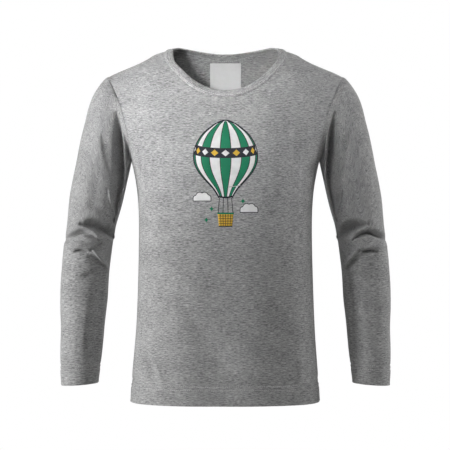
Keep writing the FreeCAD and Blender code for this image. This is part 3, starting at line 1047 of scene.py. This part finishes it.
def finished(made, colour, height, strength, depth, sets):
    """The material with its colour, its relief of this strength and depth in millimetres, and
    the values that are the same all over."""
    bump = put(made.node_tree, "ShaderNodeBump", {"Height": height},
               {"Strength": strength, "Distance": depth * MM})
    return shaded(made, {"Base Color": colour, "Normal": bump.outputs[0]}, sets)


def stopped(ramp, *stops):
    """The colour of a ramp that is given its stops, each a place and a colour."""
    elements = ramp.color_ramp.elements
    while len(elements) < len(stops):
        elements.new(0.5)
    for element, (place, colour) in zip(elements, stops):
        element.position = place
        element.color = (*colour, 1)
    return ramp.outputs["Color"]


def brighter(colour, factor):
    return [min(1, part * factor) for part in colour]


def spots(tree, across, down, detail=2, seed=0):
    """Noise whose usual spot is this many metres wide and high on the cloth."""
    place = put(tree, "ShaderNodeUVMap", uv_map="cloth")
    scaled = put(tree, "ShaderNodeMapping", {"Vector": place.outputs[0]},
                 {"Scale": (1 / across, 1 / down, 1), "Location": (seed, seed * 0.7, seed)})
    found = put(tree, "ShaderNodeTexNoise", {"Vector": scaled.outputs[0]},
                {"Scale": 1, "Detail": detail, "Roughness": 0.6})
    return found.outputs["Fac"]


def marl_colour(tree, across_pitch):
    """Dark and light fibres carded into one yarn: short level streaks, as the yarn runs."""
    colours = bpy.context.scene.shirt_colours
    streaks = spots(tree, 10 * MM, across_pitch, 3, 1)
    hairs = spots(tree, 4.0 * MM, 1.0 * MM, 2, 5)
    clouds = spots(tree, 50 * MM, 26 * MM, 2, 9)
    both = put(tree, "ShaderNodeMix", {2: streaks, 3: hairs}, {0: 0.5})
    every = put(tree, "ShaderNodeMix", {2: both.outputs[0], 3: clouds}, {0: 0.12})
    ramp = put(tree, "ShaderNodeValToRGB", {"Fac": every.outputs[0]})
    colour = stopped(ramp, (0.38, colours.dark_yarn), (0.5, colours.mid_yarn),
                     (0.62, colours.light_yarn))
    return colour, hairs, streaks


# What the light does on soft combed cotton: hardly a shine, and a weak glow of fibres at edges.
COTTON = {"Roughness": 0.92, "Specular IOR Level": 0.08, "Sheen Weight": 0.25,
          "Sheen Roughness": 0.5}


# Cotton single jersey in grey marl: soft, matt, a little fuzzy, with faint wales. The real
# wales are 0.7 mm apart, which is too fine to show, so they are drawn at 0.94 mm. The marl's
# streaks are drawn 10 mm long and 1.3 mm high, coarser than the real ones, for the same cause.
JERSEY_WALE = 0.9425 * MM


def cotton_jersey():
    made, tree = material_tree("cotton single jersey, grey marl")
    colour, hairs, streaks = marl_colour(tree, 1.3 * MM)
    place = put(tree, "ShaderNodeUVMap", uv_map="cloth")
    wales = put(tree, "ShaderNodeTexWave", {"Vector": place.outputs[0]},
                {"Scale": BAND_PITCH / JERSEY_WALE, "Distortion": 1.2, "Detail": 1,
                 "Detail Scale": 2}, bands_direction="X")
    yarns = put(tree, "ShaderNodeMix", {2: hairs, 3: streaks}, {0: 0.4})
    height = put(tree, "ShaderNodeMix", {2: yarns.outputs[0], 3: wales.outputs["Fac"]}, {0: 0.2})
    return finished(made, colour, height.outputs[0], 0.35, 0.5, COTTON)


# Cotton rib knit in the same marl: its wales are in the mesh, its courses are a fine bump.
RIB_COURSE = 0.8168 * MM


def cotton_rib():
    made, tree = material_tree("cotton rib knit, grey marl")
    colour, hairs, streaks = marl_colour(tree, 1.8 * MM)
    place = put(tree, "ShaderNodeUVMap", uv_map="cloth")
    courses = put(tree, "ShaderNodeTexWave", {"Vector": place.outputs[0]},
                  {"Scale": BAND_PITCH / RIB_COURSE, "Distortion": 0.8, "Detail": 1,
                   "Detail Scale": 2}, bands_direction="Y")
    height = put(tree, "ShaderNodeMix", {2: hairs, 3: courses.outputs["Fac"]}, {0: 0.4})
    return finished(made, colour, height.outputs[0], 0.3, 0.4,
                    {**COTTON, "Roughness": 0.9, "Sheen Weight": 0.3})


# Spun polyester sewing thread: rounder and shinier than the cloth, with its twist as a bump.
THREAD_TWIST = 0.377 * MM


def sewing_thread():
    made, tree = material_tree("spun polyester sewing thread")
    place = put(tree, "ShaderNodeTexCoord")
    twist = put(tree, "ShaderNodeTexWave", {"Vector": place.outputs["Object"]},
                {"Scale": BAND_PITCH / THREAD_TWIST, "Distortion": 1.5},
                bands_direction="DIAGONAL")
    tint = put(tree, "ShaderNodeTexNoise", {"Vector": place.outputs["Object"]},
               {"Scale": 1 / (6 * MM), "Detail": 2})
    thread = bpy.context.scene.shirt_colours.thread
    ramp = put(tree, "ShaderNodeValToRGB", {"Fac": tint.outputs["Fac"]})
    colour = stopped(ramp, (0, brighter(thread, 0.8)), (1, brighter(thread, 1.12)))
    return finished(made, colour, twist.outputs["Fac"], 0.4, 0.1,
                    {"Roughness": 0.55, "Specular IOR Level": 0.4, "Sheen Weight": 0.1})


# Woven polyester satin: smooth and softly shiny along the warp, with a fine damask of floats,
# drawn coarser than the real threads.
SATIN_WARP, SATIN_WEFT = 0.5027 * MM, 0.377 * MM


def woven_satin():
    made, tree = material_tree("woven polyester satin")
    place = put(tree, "ShaderNodeUVMap", uv_map="cloth")
    floats, picks = (
        put(tree, "ShaderNodeTexWave", {"Vector": place.outputs[0]},
            {"Scale": BAND_PITCH / pitch, "Distortion": 0.6}, bands_direction=way)
        for pitch, way in ((SATIN_WARP, "X"), (SATIN_WEFT, "Y")))
    cloud = spots(tree, 14 * MM, 9 * MM, 2, 3)
    weave = put(tree, "ShaderNodeMix", {2: floats.outputs["Fac"], 3: picks.outputs["Fac"]}, {0: 0.5})
    shade = put(tree, "ShaderNodeMix", {2: weave.outputs[0], 3: cloud}, {0: 0.4})
    label = bpy.context.scene.shirt_colours.label
    ramp = put(tree, "ShaderNodeValToRGB", {"Fac": shade.outputs[0]})
    colour = stopped(ramp, (0, brighter(label, 0.82)), (1, brighter(label, 1.1)))
    return finished(made, colour, weave.outputs[0], 0.25, 0.1,
                    {"Roughness": 0.48, "Specular IOR Level": 0.45})


# Plastisol screen ink: a thin, slightly rubbery skin in which the knit shows as small dents,
# with pinholes where the cloth's fibres stand through.
def screen_ink(name, colour):
    made, tree = material_tree(name)
    fibres = bpy.context.scene.shirt_colours.mid_yarn
    pits = spots(tree, 2.2 * MM, 1.6 * MM, 3, 13)
    shade = spots(tree, 16 * MM, 12 * MM, 2, 7)
    hole = put(tree, "ShaderNodeMapRange", {"Value": pits},
               {"From Min": 0.68, "From Max": 0.8, "To Min": 0, "To Max": 0.55})
    lit = put(tree, "ShaderNodeMapRange", {"Value": shade},
              {"From Min": 0.3, "From Max": 0.7, "To Min": 0.9, "To Max": 1.06})
    tinted = put(tree, "ShaderNodeMix", {0: lit.outputs[0]}, {6: (0, 0, 0, 1), 7: (*colour, 1)},
                 data_type="RGBA", clamp_factor=False)
    worn = put(tree, "ShaderNodeMix", {0: hole.outputs[0], 6: tinted.outputs[2]},
               {7: (*fibres, 1)}, data_type="RGBA")
    return finished(made, worn.outputs[2], pits, 0.3, 0.2,
                    {"Roughness": 0.6, "Specular IOR Level": 0.35})


# Matt paper backdrop: it looks pale to the camera and still takes the shirt's shadow.
def studio_paper():
    made, tree = material_tree("matt white studio paper")
    place = put(tree, "ShaderNodeTexCoord")
    grain = put(tree, "ShaderNodeTexNoise", {"Vector": place.outputs["Object"]},
                {"Scale": 40, "Detail": 3})
    ramp = put(tree, "ShaderNodeValToRGB", {"Fac": grain.outputs["Fac"]})
    colour = stopped(ramp, (0, linear("#E6E6E4")), (1, linear("#F0F0EE")))
    seen = put(tree, "ShaderNodeLightPath").outputs["Is Camera Ray"]
    glow = put(tree, "ShaderNodeMath", {0: seen}, {1: 0.55}, operation="MULTIPLY")
    return shaded(made, {"Base Color": colour, "Emission Strength": glow.outputs[0]},
                  {"Roughness": 0.9, "Emission Color": (1, 1, 1, 1)})


FINISHES = {
    "jersey": cotton_jersey,
    "rib": cotton_rib,
    "thread": sewing_thread,
    "label": woven_satin,
}
made_finishes = {}


def finish_of(name):
    """The material of one kind, made the first time it is asked for."""
    if name not in made_finishes:
        made_finishes[name] = FINISHES[name]()
    return made_finishes[name]


# The label and the print

# Below the neck point, and how the label stands off the back: at its top, at its foot and at its
# curled corners.
LABEL_TOP = 15.8 * MM
LABEL_LIFT, LABEL_SWING, LABEL_CURL = 0.7, 1.1, 0.45
LABEL_ROWS, LABEL_COLUMNS = 37, 41
LABEL_THICK = 0.4 * MM


def neck_label(name, material):
    """A bare woven label that hangs from the back neck seam against the back."""
    cut = bpy.context.scene.shirt_cut
    tree = surface_tree("shirt_back", "neck_rib_knit")
    points, uvs = [], []
    for v in np.linspace(0, 1, LABEL_ROWS):
        for u in np.linspace(-1, 1, LABEL_COLUMNS):
            x, z = u * cut.label_width / 2, -LABEL_TOP - v * cut.label_length
            inside = tree.ray_cast(Vector((x, 0, z)), Vector((0, 1, 0)))[0]
            lift = LABEL_LIFT + LABEL_SWING * v * v + LABEL_CURL * v * math.sin(3.1 * u + 0.6)
            points.append((x, inside.y - lift * MM, z))
            uvs.append((x, -v * cut.label_length))
    faces = grid_faces(LABEL_ROWS, LABEL_COLUMNS, flip=True)
    return thickened(new_object(name, points, faces, uvs, [material]), LABEL_THICK, offset=1)


# The print's flat outlines as seen from the front, in millimetres. Inks go by their place in the
# print's list of materials. A lift, the last number of each patch or line, is the ink's height
# above the cloth, so that a later ink lies on an earlier one.
GREEN, WHITE, NAVY, GOLD = range(4)
INK_THICK = 0.12 * MM
# Balloon: height above the mouth, and half width.
BALLOON = np.array((
    (0, 9.2),
    (6, 12.5),
    (14, 18.2),
    (24, 27.5),
    (34, 36),
    (44, 42),
    (54, 44.7),
    (64, 44.6),
    (74, 42),
    (84, 36.8),
    (94, 28.5),
    (102, 18.5),
    (107, 10),
    (110, 0.6),
))
BALLOON_MOUTH = -218
BALLOON_TALL, CROWN = 110, 110.2
GORES = 9
# Heights of the belt's edges, and how far its line bows down in the middle.
BELT = (60, 74)
BELT_BOW, BELT_DROP = 7, 4
# The belt bows like this share of half a ring. A rhombus takes these shares of a gore's width
# and of the belt's height.
BELT_END, RHOMBUS_WIDE, RHOMBUS_TALL = 0.98, 0.72, 0.66
# Basket: its upper left and lower right corners, and the ropes' places above and below.
BASKET = ((-11, -240), (11, -258))
ROPES = ((-8.6, -10.4), (-3, -3.6), (3, 3.6), (8.6, 10.4))
# Middles of the clouds and further down of the stars, each across and high.
CLOUDS = ((-33, -222), (33, -238))
# Each puff of a cloud: place across, height and radius.
CLOUD_PUFFS = ((-8.6, 3.6, 3.4), (-3.2, 6.2, 5.2), (3.4, 6.6, 4.9), (8.4, 4.2, 3.6))
# Half widths of a cloud and a star, and the powers that give a star its thin arms.
CLOUD_HALF, STAR_HALF, STAR_POWERS = 12, 4.2, (0.55, 1.5)
STARS = ((-27, -249), (24.5, -222.5), (-19.5, -233.5))


class Print:
    """Flat patches of ink, gathered into one mesh on the front of the shirt."""

    def __init__(self):
        self.tree = surface_tree("shirt_front")
        self.points, self.faces, self.inks, self.places = [], [], [], []

    def on_cloth(self, x, z, lift):
        found, normal, _, _ = self.tree.ray_cast(Vector((x * MM, -0.3, z * MM)), Vector((0, 1, 0)))
        return found + normal * lift * MM

    def patch(self, left, right, ink, lift, step=1.8):
        """Ink between two lines of (x, z), each point of one matched with one of the other."""
        left, right = np.asarray(left, float), np.asarray(right, float)
        columns = max(2, int(np.linalg.norm(right - left, axis=1).max() / step) + 2)
        faces = grid_faces(len(left), columns) + len(self.points)
        for a, b in zip(left, right):
            for share in np.linspace(0, 1, columns):
                x, z = a + (b - a) * share
                self.points.append(self.on_cloth(x, z, lift))
                self.places.append((x * MM, z * MM))
        first = [self.points[i] for i in faces[0]]
        if (first[1] - first[0]).cross(first[2] - first[1]).y > 0:
            faces = faces[:, ::-1]
        self.faces += faces.tolist()
        self.inks += [ink] * len(faces)

    def line(self, points, wide, ink, lift):
        """A line of ink of one width."""
        points = np.asarray(points, float)
        run = np.gradient(points, axis=0)
        side = np.stack([-run[:, 1], run[:, 0]], axis=1)
        side *= wide / 2 / np.linalg.norm(side, axis=1, keepdims=True)
        self.patch(points - side, points + side, ink, lift)


def pairs(x, z):
    """Points (x, z) from two rows of values, or from a row and one value."""
    return np.stack(np.broadcast_arrays(x, z), axis=1)


def balloon_edge(high):
    return through(BALLOON[:, 0], BALLOON[:, 1:], high)[:, 0]


def balloon_line(turn, high):
    """Points of a line up the balloon, at one turn about its axis."""
    return pairs(balloon_edge(high) * math.sin(turn), BALLOON_MOUTH + high)


def print_belt(ink, turns):
    """The belt, with a rhombus in each gore."""
    shares = np.linspace(-1, 1, 61)
    bow = BELT_BOW * (1 - np.sqrt(1 - (shares * BELT_END) ** 2))
    low, top = (pairs(balloon_edge(level) * shares, BALLOON_MOUTH + level)
                for level in (high + bow - BELT_DROP for high in BELT))
    ink.patch(low, top, NAVY, 0.24)
    tall = RHOMBUS_TALL * (1 - np.abs(np.linspace(-1, 1, 9)))
    reach = (turns[1] - turns[0]) / 2 * RHOMBUS_WIDE
    for number in range(GORES):
        turn = (turns[number] + turns[number + 1]) / 2
        where = np.clip(np.sin(turn + np.linspace(-reach, reach, 9)) / BELT_END, -1, 1)
        centre = read_at((low + top) / 2, shares, where)
        half = read_at((top - low) / 2, shares, where) * tall[:, None]
        ink.patch(centre - half, centre + half, GOLD if number % 2 else WHITE, 0.32)


def print_balloon(ink):
    heights = np.linspace(0, BALLOON_TALL, 62)
    turns = np.linspace(-math.pi / 2, math.pi / 2, GORES + 1)
    for number, (a, b) in enumerate(zip(turns[:-1], turns[1:])):
        ink.patch(balloon_line(a, heights), balloon_line(b, heights),
                  WHITE if number % 2 else GREEN, 0.16)
    print_belt(ink, turns)
    for turn in turns[1:-1]:
        ink.line(balloon_line(turn, heights[:-1]), 0.9, NAVY, 0.3)
    for side in (-1, 1):
        rim = balloon_line(side * math.pi / 2, heights) + (side * 0.1, 0)
        ink.line(rim, 1.5, NAVY, 0.34)
    mouth = np.linspace(-9.4, 9.4, 14)
    ink.line(pairs(mouth, BALLOON_MOUTH + 0.5 + 0.02 * mouth ** 2), 2.2, NAVY, 0.36)
    top = np.linspace(-10.5, 10.5, 14)
    ink.line(pairs(top, BALLOON_MOUTH + CROWN - 0.03 * top ** 2), 1.4, NAVY, 0.36)


def print_basket(ink):
    """The basket, its wicker of five rows and six columns, its rims and its ropes."""
    (left, top), (right, low) = BASKET
    rows, taper = np.linspace(top, low, 12), np.linspace(0, 1.6, 12)
    ink.patch(pairs(left + taper, rows), pairs(right - taper, rows), GOLD, 0.2)
    for number in range(1, 5):
        high = top + (low - top) * number / 5
        run = np.linspace(left + 1.2, right - 1.2, 16)
        ink.line(pairs(run, high + 0.35 * np.sin(run * 2.1 + number * 3.1)), 0.7, NAVY, 0.28)
    for number in range(1, 6):
        x = left + (right - left) * number / 6
        ink.line([(x, top), (x * 0.93, (top + low) / 2), (x * 0.86, low)], 0.7, NAVY, 0.3)
    for high, shorter, wide, colour in ((top, -0.6, 2.2, GREEN), (low, 1.5, 1.4, NAVY)):
        run = np.linspace(left + shorter, right - shorter, 14)
        ink.line(pairs(run, high), wide, colour, 0.34)
    rope = np.linspace(0, 1, 12)[:, None]
    for x_top, x_low in ROPES:
        ink.line(np.array([x_top, BALLOON_MOUTH]) * (1 - rope) + np.array([x_low, top]) * rope,
                 0.9, NAVY, 0.26)


def cloud_top(x, grown=0):
    """Upper edge of a cloud above its flat foot."""
    heights = [c + math.sqrt(max((r + grown) ** 2 - (x - p) ** 2, 0)) for p, c, r in CLOUD_PUFFS
               if abs(x - p) < r + grown]
    return max(heights, default=0)


def print_cloud(ink, x, z):
    """A white cloud on a slightly larger dark one."""
    for grown, colour, lift in ((1.0, NAVY, 0.16), (0, WHITE, 0.24)):
        reach = CLOUD_HALF + grown - 0.01
        run = np.linspace(-reach, reach, 64)
        top = np.array([max(cloud_top(p, grown), 0.05) for p in run])
        low = np.minimum(top, 0) - grown
        ink.patch(pairs(x + run, z + low), pairs(x + run, z + top), colour, lift)


def print_star(ink, x, z):
    """A four-pointed star."""
    rows = np.linspace(-1, 1, 15)
    half = (1 - np.abs(rows) ** STAR_POWERS[0]) ** STAR_POWERS[1] * STAR_HALF
    high = z + rows * STAR_HALF
    ink.patch(pairs(x - half, high), pairs(x + half, high), GREEN, 0.2, step=1.2)


def chest_print(name, materials):
    """A hot-air balloon between clouds, in four inks."""
    ink = Print()
    print_balloon(ink)
    print_basket(ink)
    for x, z in CLOUDS:
        print_cloud(ink, x, z)
    for x, z in STARS:
        print_star(ink, x, z)
    made = new_object(name, ink.points, ink.faces, ink.places, materials)
    made.data.polygons.foreach_set("material_index", ink.inks)
    made.data.update()
    return thickened(made, INK_THICK)


# Studio

# The camera's distance, how much it sees across there, and the place at the picture's middle.
VIEW_DISTANCE = 2.5
VIEW_WIDE = 0.657
VIEW_MIDDLE = (-0.73 * MM, -256.2 * MM)
SENSOR = 36
# The floor's height, radius and number of sides, in metres, and the world's light on the shirt.
FLOOR, FLOOR_RADIUS, FLOOR_SIDES = -1.0, 2.2, 64
WORLD_LIGHT = 0.05


def camera():
    """The photograph's view: straight from the front, a good way off."""
    lens = bpy.data.cameras.new("camera")
    lens.sensor_width = SENSOR
    lens.lens = SENSOR * VIEW_DISTANCE / VIEW_WIDE
    lens.clip_end = 50
    made = object_of("camera", lens)
    made.location = (VIEW_MIDDLE[0], -VIEW_DISTANCE, VIEW_MIDDLE[1])
    made.rotation_euler = (math.pi / 2, 0, 0)
    bpy.context.scene.camera = made


# Points that the lamps look at.
CHEST = Vector((0, 0, -200 * MM))
BELLY = Vector((0, 0, -310 * MM))
NECK = Vector((0, 30 * MM, -35 * MM))
# Each lamp: degrees to the right of the camera and upwards, metres away, metres wide, watts, the
# point that it looks at and its spread in degrees.
LAMPS = (
    ("key", -71, 5, 1.8, 0.9, 4.5, BELLY, 62),
    ("rim", 92, 14, 1.5, 0.6, 9.5, CHEST, 180),
    ("fill", -4, 26, 1.8, 0.9, 4.8, CHEST, 180),
    ("back", 155, 20, 1.8, 0.9, 8, CHEST, 180),
    ("neck", -27, 11, 1.3, 0.28, 0.24, NECK, 18),
)


def softbox(name, turn, rise, away, wide, power, aim, spread):
    """A square lamp that looks at a point."""
    turn, rise = math.radians(turn), math.radians(rise)
    lamp = bpy.data.lights.new(name, "AREA")
    lamp.shape = "SQUARE"
    lamp.size = wide
    lamp.energy = power
    lamp.spread = math.radians(spread)
    back = Vector((math.sin(turn) * math.cos(rise), -math.cos(turn) * math.cos(rise), math.sin(rise)))
    made = object_of(name, lamp)
    made.location = aim + back * away
    made.rotation_euler = (-back).to_track_quat("-Z", "Y").to_euler()


def white_to_the_camera(strength):
    """A world that lights softly, and shows white to the camera and in reflections."""
    world = bpy.data.worlds.new("studio")
    bpy.context.scene.world = world
    world.use_nodes = True
    tree = world.node_tree
    tree.nodes.clear()
    ray = put(tree, "ShaderNodeLightPath").outputs
    seen = put(tree, "ShaderNodeMath", {0: ray["Is Camera Ray"], 1: ray["Is Glossy Ray"]},
               operation="MAXIMUM")
    every = put(tree, "ShaderNodeMath", {0: seen.outputs[0], 1: ray["Is Transmission Ray"]},
                operation="MAXIMUM")
    soft, white = (put(tree, "ShaderNodeBackground", sets={"Color": (1, 1, 1, 1), "Strength": level})
                   for level in (strength, 1))
    both = put(tree, "ShaderNodeMixShader",
               {0: every.outputs[0], 1: soft.outputs[0], 2: white.outputs[0]})
    put(tree, "ShaderNodeOutputWorld", {0: both.outputs[0]})


def floor():
    """A round sheet of paper below the shirt."""
    turns = np.linspace(0, 2 * math.pi, FLOOR_SIDES + 1)[:-1]
    rim = [(FLOOR_RADIUS * math.cos(a), FLOOR_RADIUS * math.sin(a), FLOOR) for a in turns]
    faces = [(0, i + 1, (i + 1) % FLOOR_SIDES + 1) for i in range(FLOOR_SIDES)]
    new_object("studio_floor", [(0, 0, FLOOR)] + rim, faces, materials=[studio_paper()])


# Operators

SIDES = ((1, "left"), (-1, "right"))


class ShirtOperator:
    """What every operator of the shirt has."""
    bl_options = {"REGISTER", "UNDO"}


class SHIRT_OT_stage(ShirtOperator, bpy.types.Operator):
    """Set up the camera, the lamps and the floor"""
    bl_idname = "shirt.stage"
    bl_label = "Studio"

    def execute(self, context):
        context.scene.view_settings.view_transform = "Standard"
        camera()
        white_to_the_camera(WORLD_LIGHT)
        for lamp in LAMPS:
            softbox(*lamp)
        floor()
        return {"FINISHED"}


class SHIRT_OT_panels(ShirtOperator, bpy.types.Operator):
    """Make the front and the back of the body"""
    bl_idname = "shirt.panels"
    bl_label = "Front and back"

    def execute(self, context):
        for name, facing, area in (("front", 1, 0.172), ("back", -1, 0.167)):
            panel = build_panel(f"shirt_{name}", facing, finish_of("jersey"))
            seated(panel, "jersey", f"{name}_panel")
        return {"FINISHED"}


class SHIRT_OT_sleeves(ShirtOperator, bpy.types.Operator):
    """Make both long sleeves"""
    bl_idname = "shirt.sleeves"
    bl_label = "Sleeves"

    def execute(self, context):
        for side, name in SIDES:
            sleeve = build_sleeve(f"{name}_sleeve_cloth", side, finish_of("jersey"))
            seated(sleeve, "jersey", f"{name}_sleeve", f"{name}_forearm_sleeve")
        return {"FINISHED"}


class SHIRT_OT_hems(ShirtOperator, bpy.types.Operator):
    """Turn up the bottom edge and both cuffs"""
    bl_idname = "shirt.hems"
    bl_label = "Hems"

    def execute(self, context):
        jersey = finish_of("jersey")
        hem = thickened(body_hem("hem_turn", jersey), TURNED)
        seated(hem, "jersey", "bottom_hem")
        for side, name in SIDES:
            cuff = thickened(cuff_hem(f"{name}_cuff_turn", side, jersey), TURNED)
            seated(cuff, "jersey", f"{name}_cuff_hem")
        return {"FINISHED"}


class SHIRT_OT_neck(ShirtOperator, bpy.types.Operator):
    """Make the folded neck rib"""
    bl_idname = "shirt.neck"
    bl_label = "Neck rib"

    def execute(self, context):
        seated(neck_rib("neck_rib_knit", finish_of("rib")), "rib", "neck_rib")
        return {"FINISHED"}


class SHIRT_OT_label(ShirtOperator, bpy.types.Operator):
    """Hang the bare woven label in the back neck"""
    bl_idname = "shirt.label"
    bl_label = "Neck label"

    def execute(self, context):
        label = neck_label("neck_label_satin", finish_of("label"))
        seated(label, "label", "neck_label")
        return {"FINISHED"}


class SHIRT_OT_print(ShirtOperator, bpy.types.Operator):
    """Print the balloon on the chest"""
    bl_idname = "shirt.print"
    bl_label = "Chest print"

    def execute(self, context):
        colours = context.scene.shirt_colours
        inks = [screen_ink(f"plastisol ink, {name}", getattr(colours, f"{name}_ink"))
                for name in ("green", "white", "navy", "gold")]
        seated(chest_print("chest_print_ink", inks), "print", "chest_print")
        return {"FINISHED"}


class SHIRT_OT_stitches(ShirtOperator, bpy.types.Operator):
    """Sew the twin-needle rows of the hems and the row round the neck"""
    bl_idname = "shirt.stitches"
    bl_label = "Stitches"

    def execute(self, context):
        cut, twin = context.scene.shirt_cut, (0, context.scene.shirt_stitches.twin)
        body = surface_tree("shirt_front", "shirt_back")
        rows = [laid_on(body, ring_on_body(BODY_LENGTH - cut.hem + down), THREAD_LIFT)
                for down in twin]
        stitch_rows("hem_stitches", rows, "jersey")
        for side, name in SIDES:
            cloth = surface_tree(f"{name}_sleeve_cloth")
            rows = [laid_on(cloth, sleeve_line(cut.cuff - down, side), THREAD_LIFT)
                    for down in twin]
            stitch_rows(f"{name}_cuff_stitches", rows, "jersey")
        stitch_rows("neck_stitches", neck_stitch_lines(), "rib")
        return {"FINISHED"}


class SHIRT_PT_panel(bpy.types.Panel):
    """Every piece of the shirt, in the order in which it is made"""
    bl_label = "Long-sleeved T-shirt"
    bl_idname = "SHIRT_PT_panel"
    bl_space_type = "VIEW_3D"
    bl_region_type = "UI"
    bl_category = "Shirt"

    def draw(self, context):
        layout = self.layout
        for group in GROUPS:
            values = getattr(context.scene, group)
            box = layout.box()
            for key in values.__annotations__:
                box.prop(values, key)
        for operator in OPERATORS:
            layout.operator(operator.bl_idname)


GROUPS = {
    "shirt_cut": ShirtCut,
    "shirt_stitches": ShirtStitches,
    "shirt_folds": ShirtFolds,
    "shirt_colours": ShirtColours,
}
OPERATORS = (SHIRT_OT_stage, SHIRT_OT_panels, SHIRT_OT_sleeves, SHIRT_OT_hems, SHIRT_OT_neck,
             SHIRT_OT_label, SHIRT_OT_print, SHIRT_OT_stitches)


def register():
    for kind in (*GROUPS.values(), *OPERATORS, SHIRT_PT_panel):
        bpy.utils.register_class(kind)
    for name, kind in GROUPS.items():
        setattr(bpy.types.Scene, name, PointerProperty(type=kind))


def unregister():
    for name in GROUPS:
        delattr(bpy.types.Scene, name)
    for kind in reversed((*GROUPS.values(), *OPERATORS, SHIRT_PT_panel)):
        bpy.utils.unregister_class(kind)


def main():
    register()
    for operator in OPERATORS:
        group, name = operator.bl_idname.split(".")
        if getattr(getattr(bpy.ops, group), name)() != {"FINISHED"}:
            raise RuntimeError(f"{operator.bl_label} was not made")


if __name__ == "__main__":
    main()
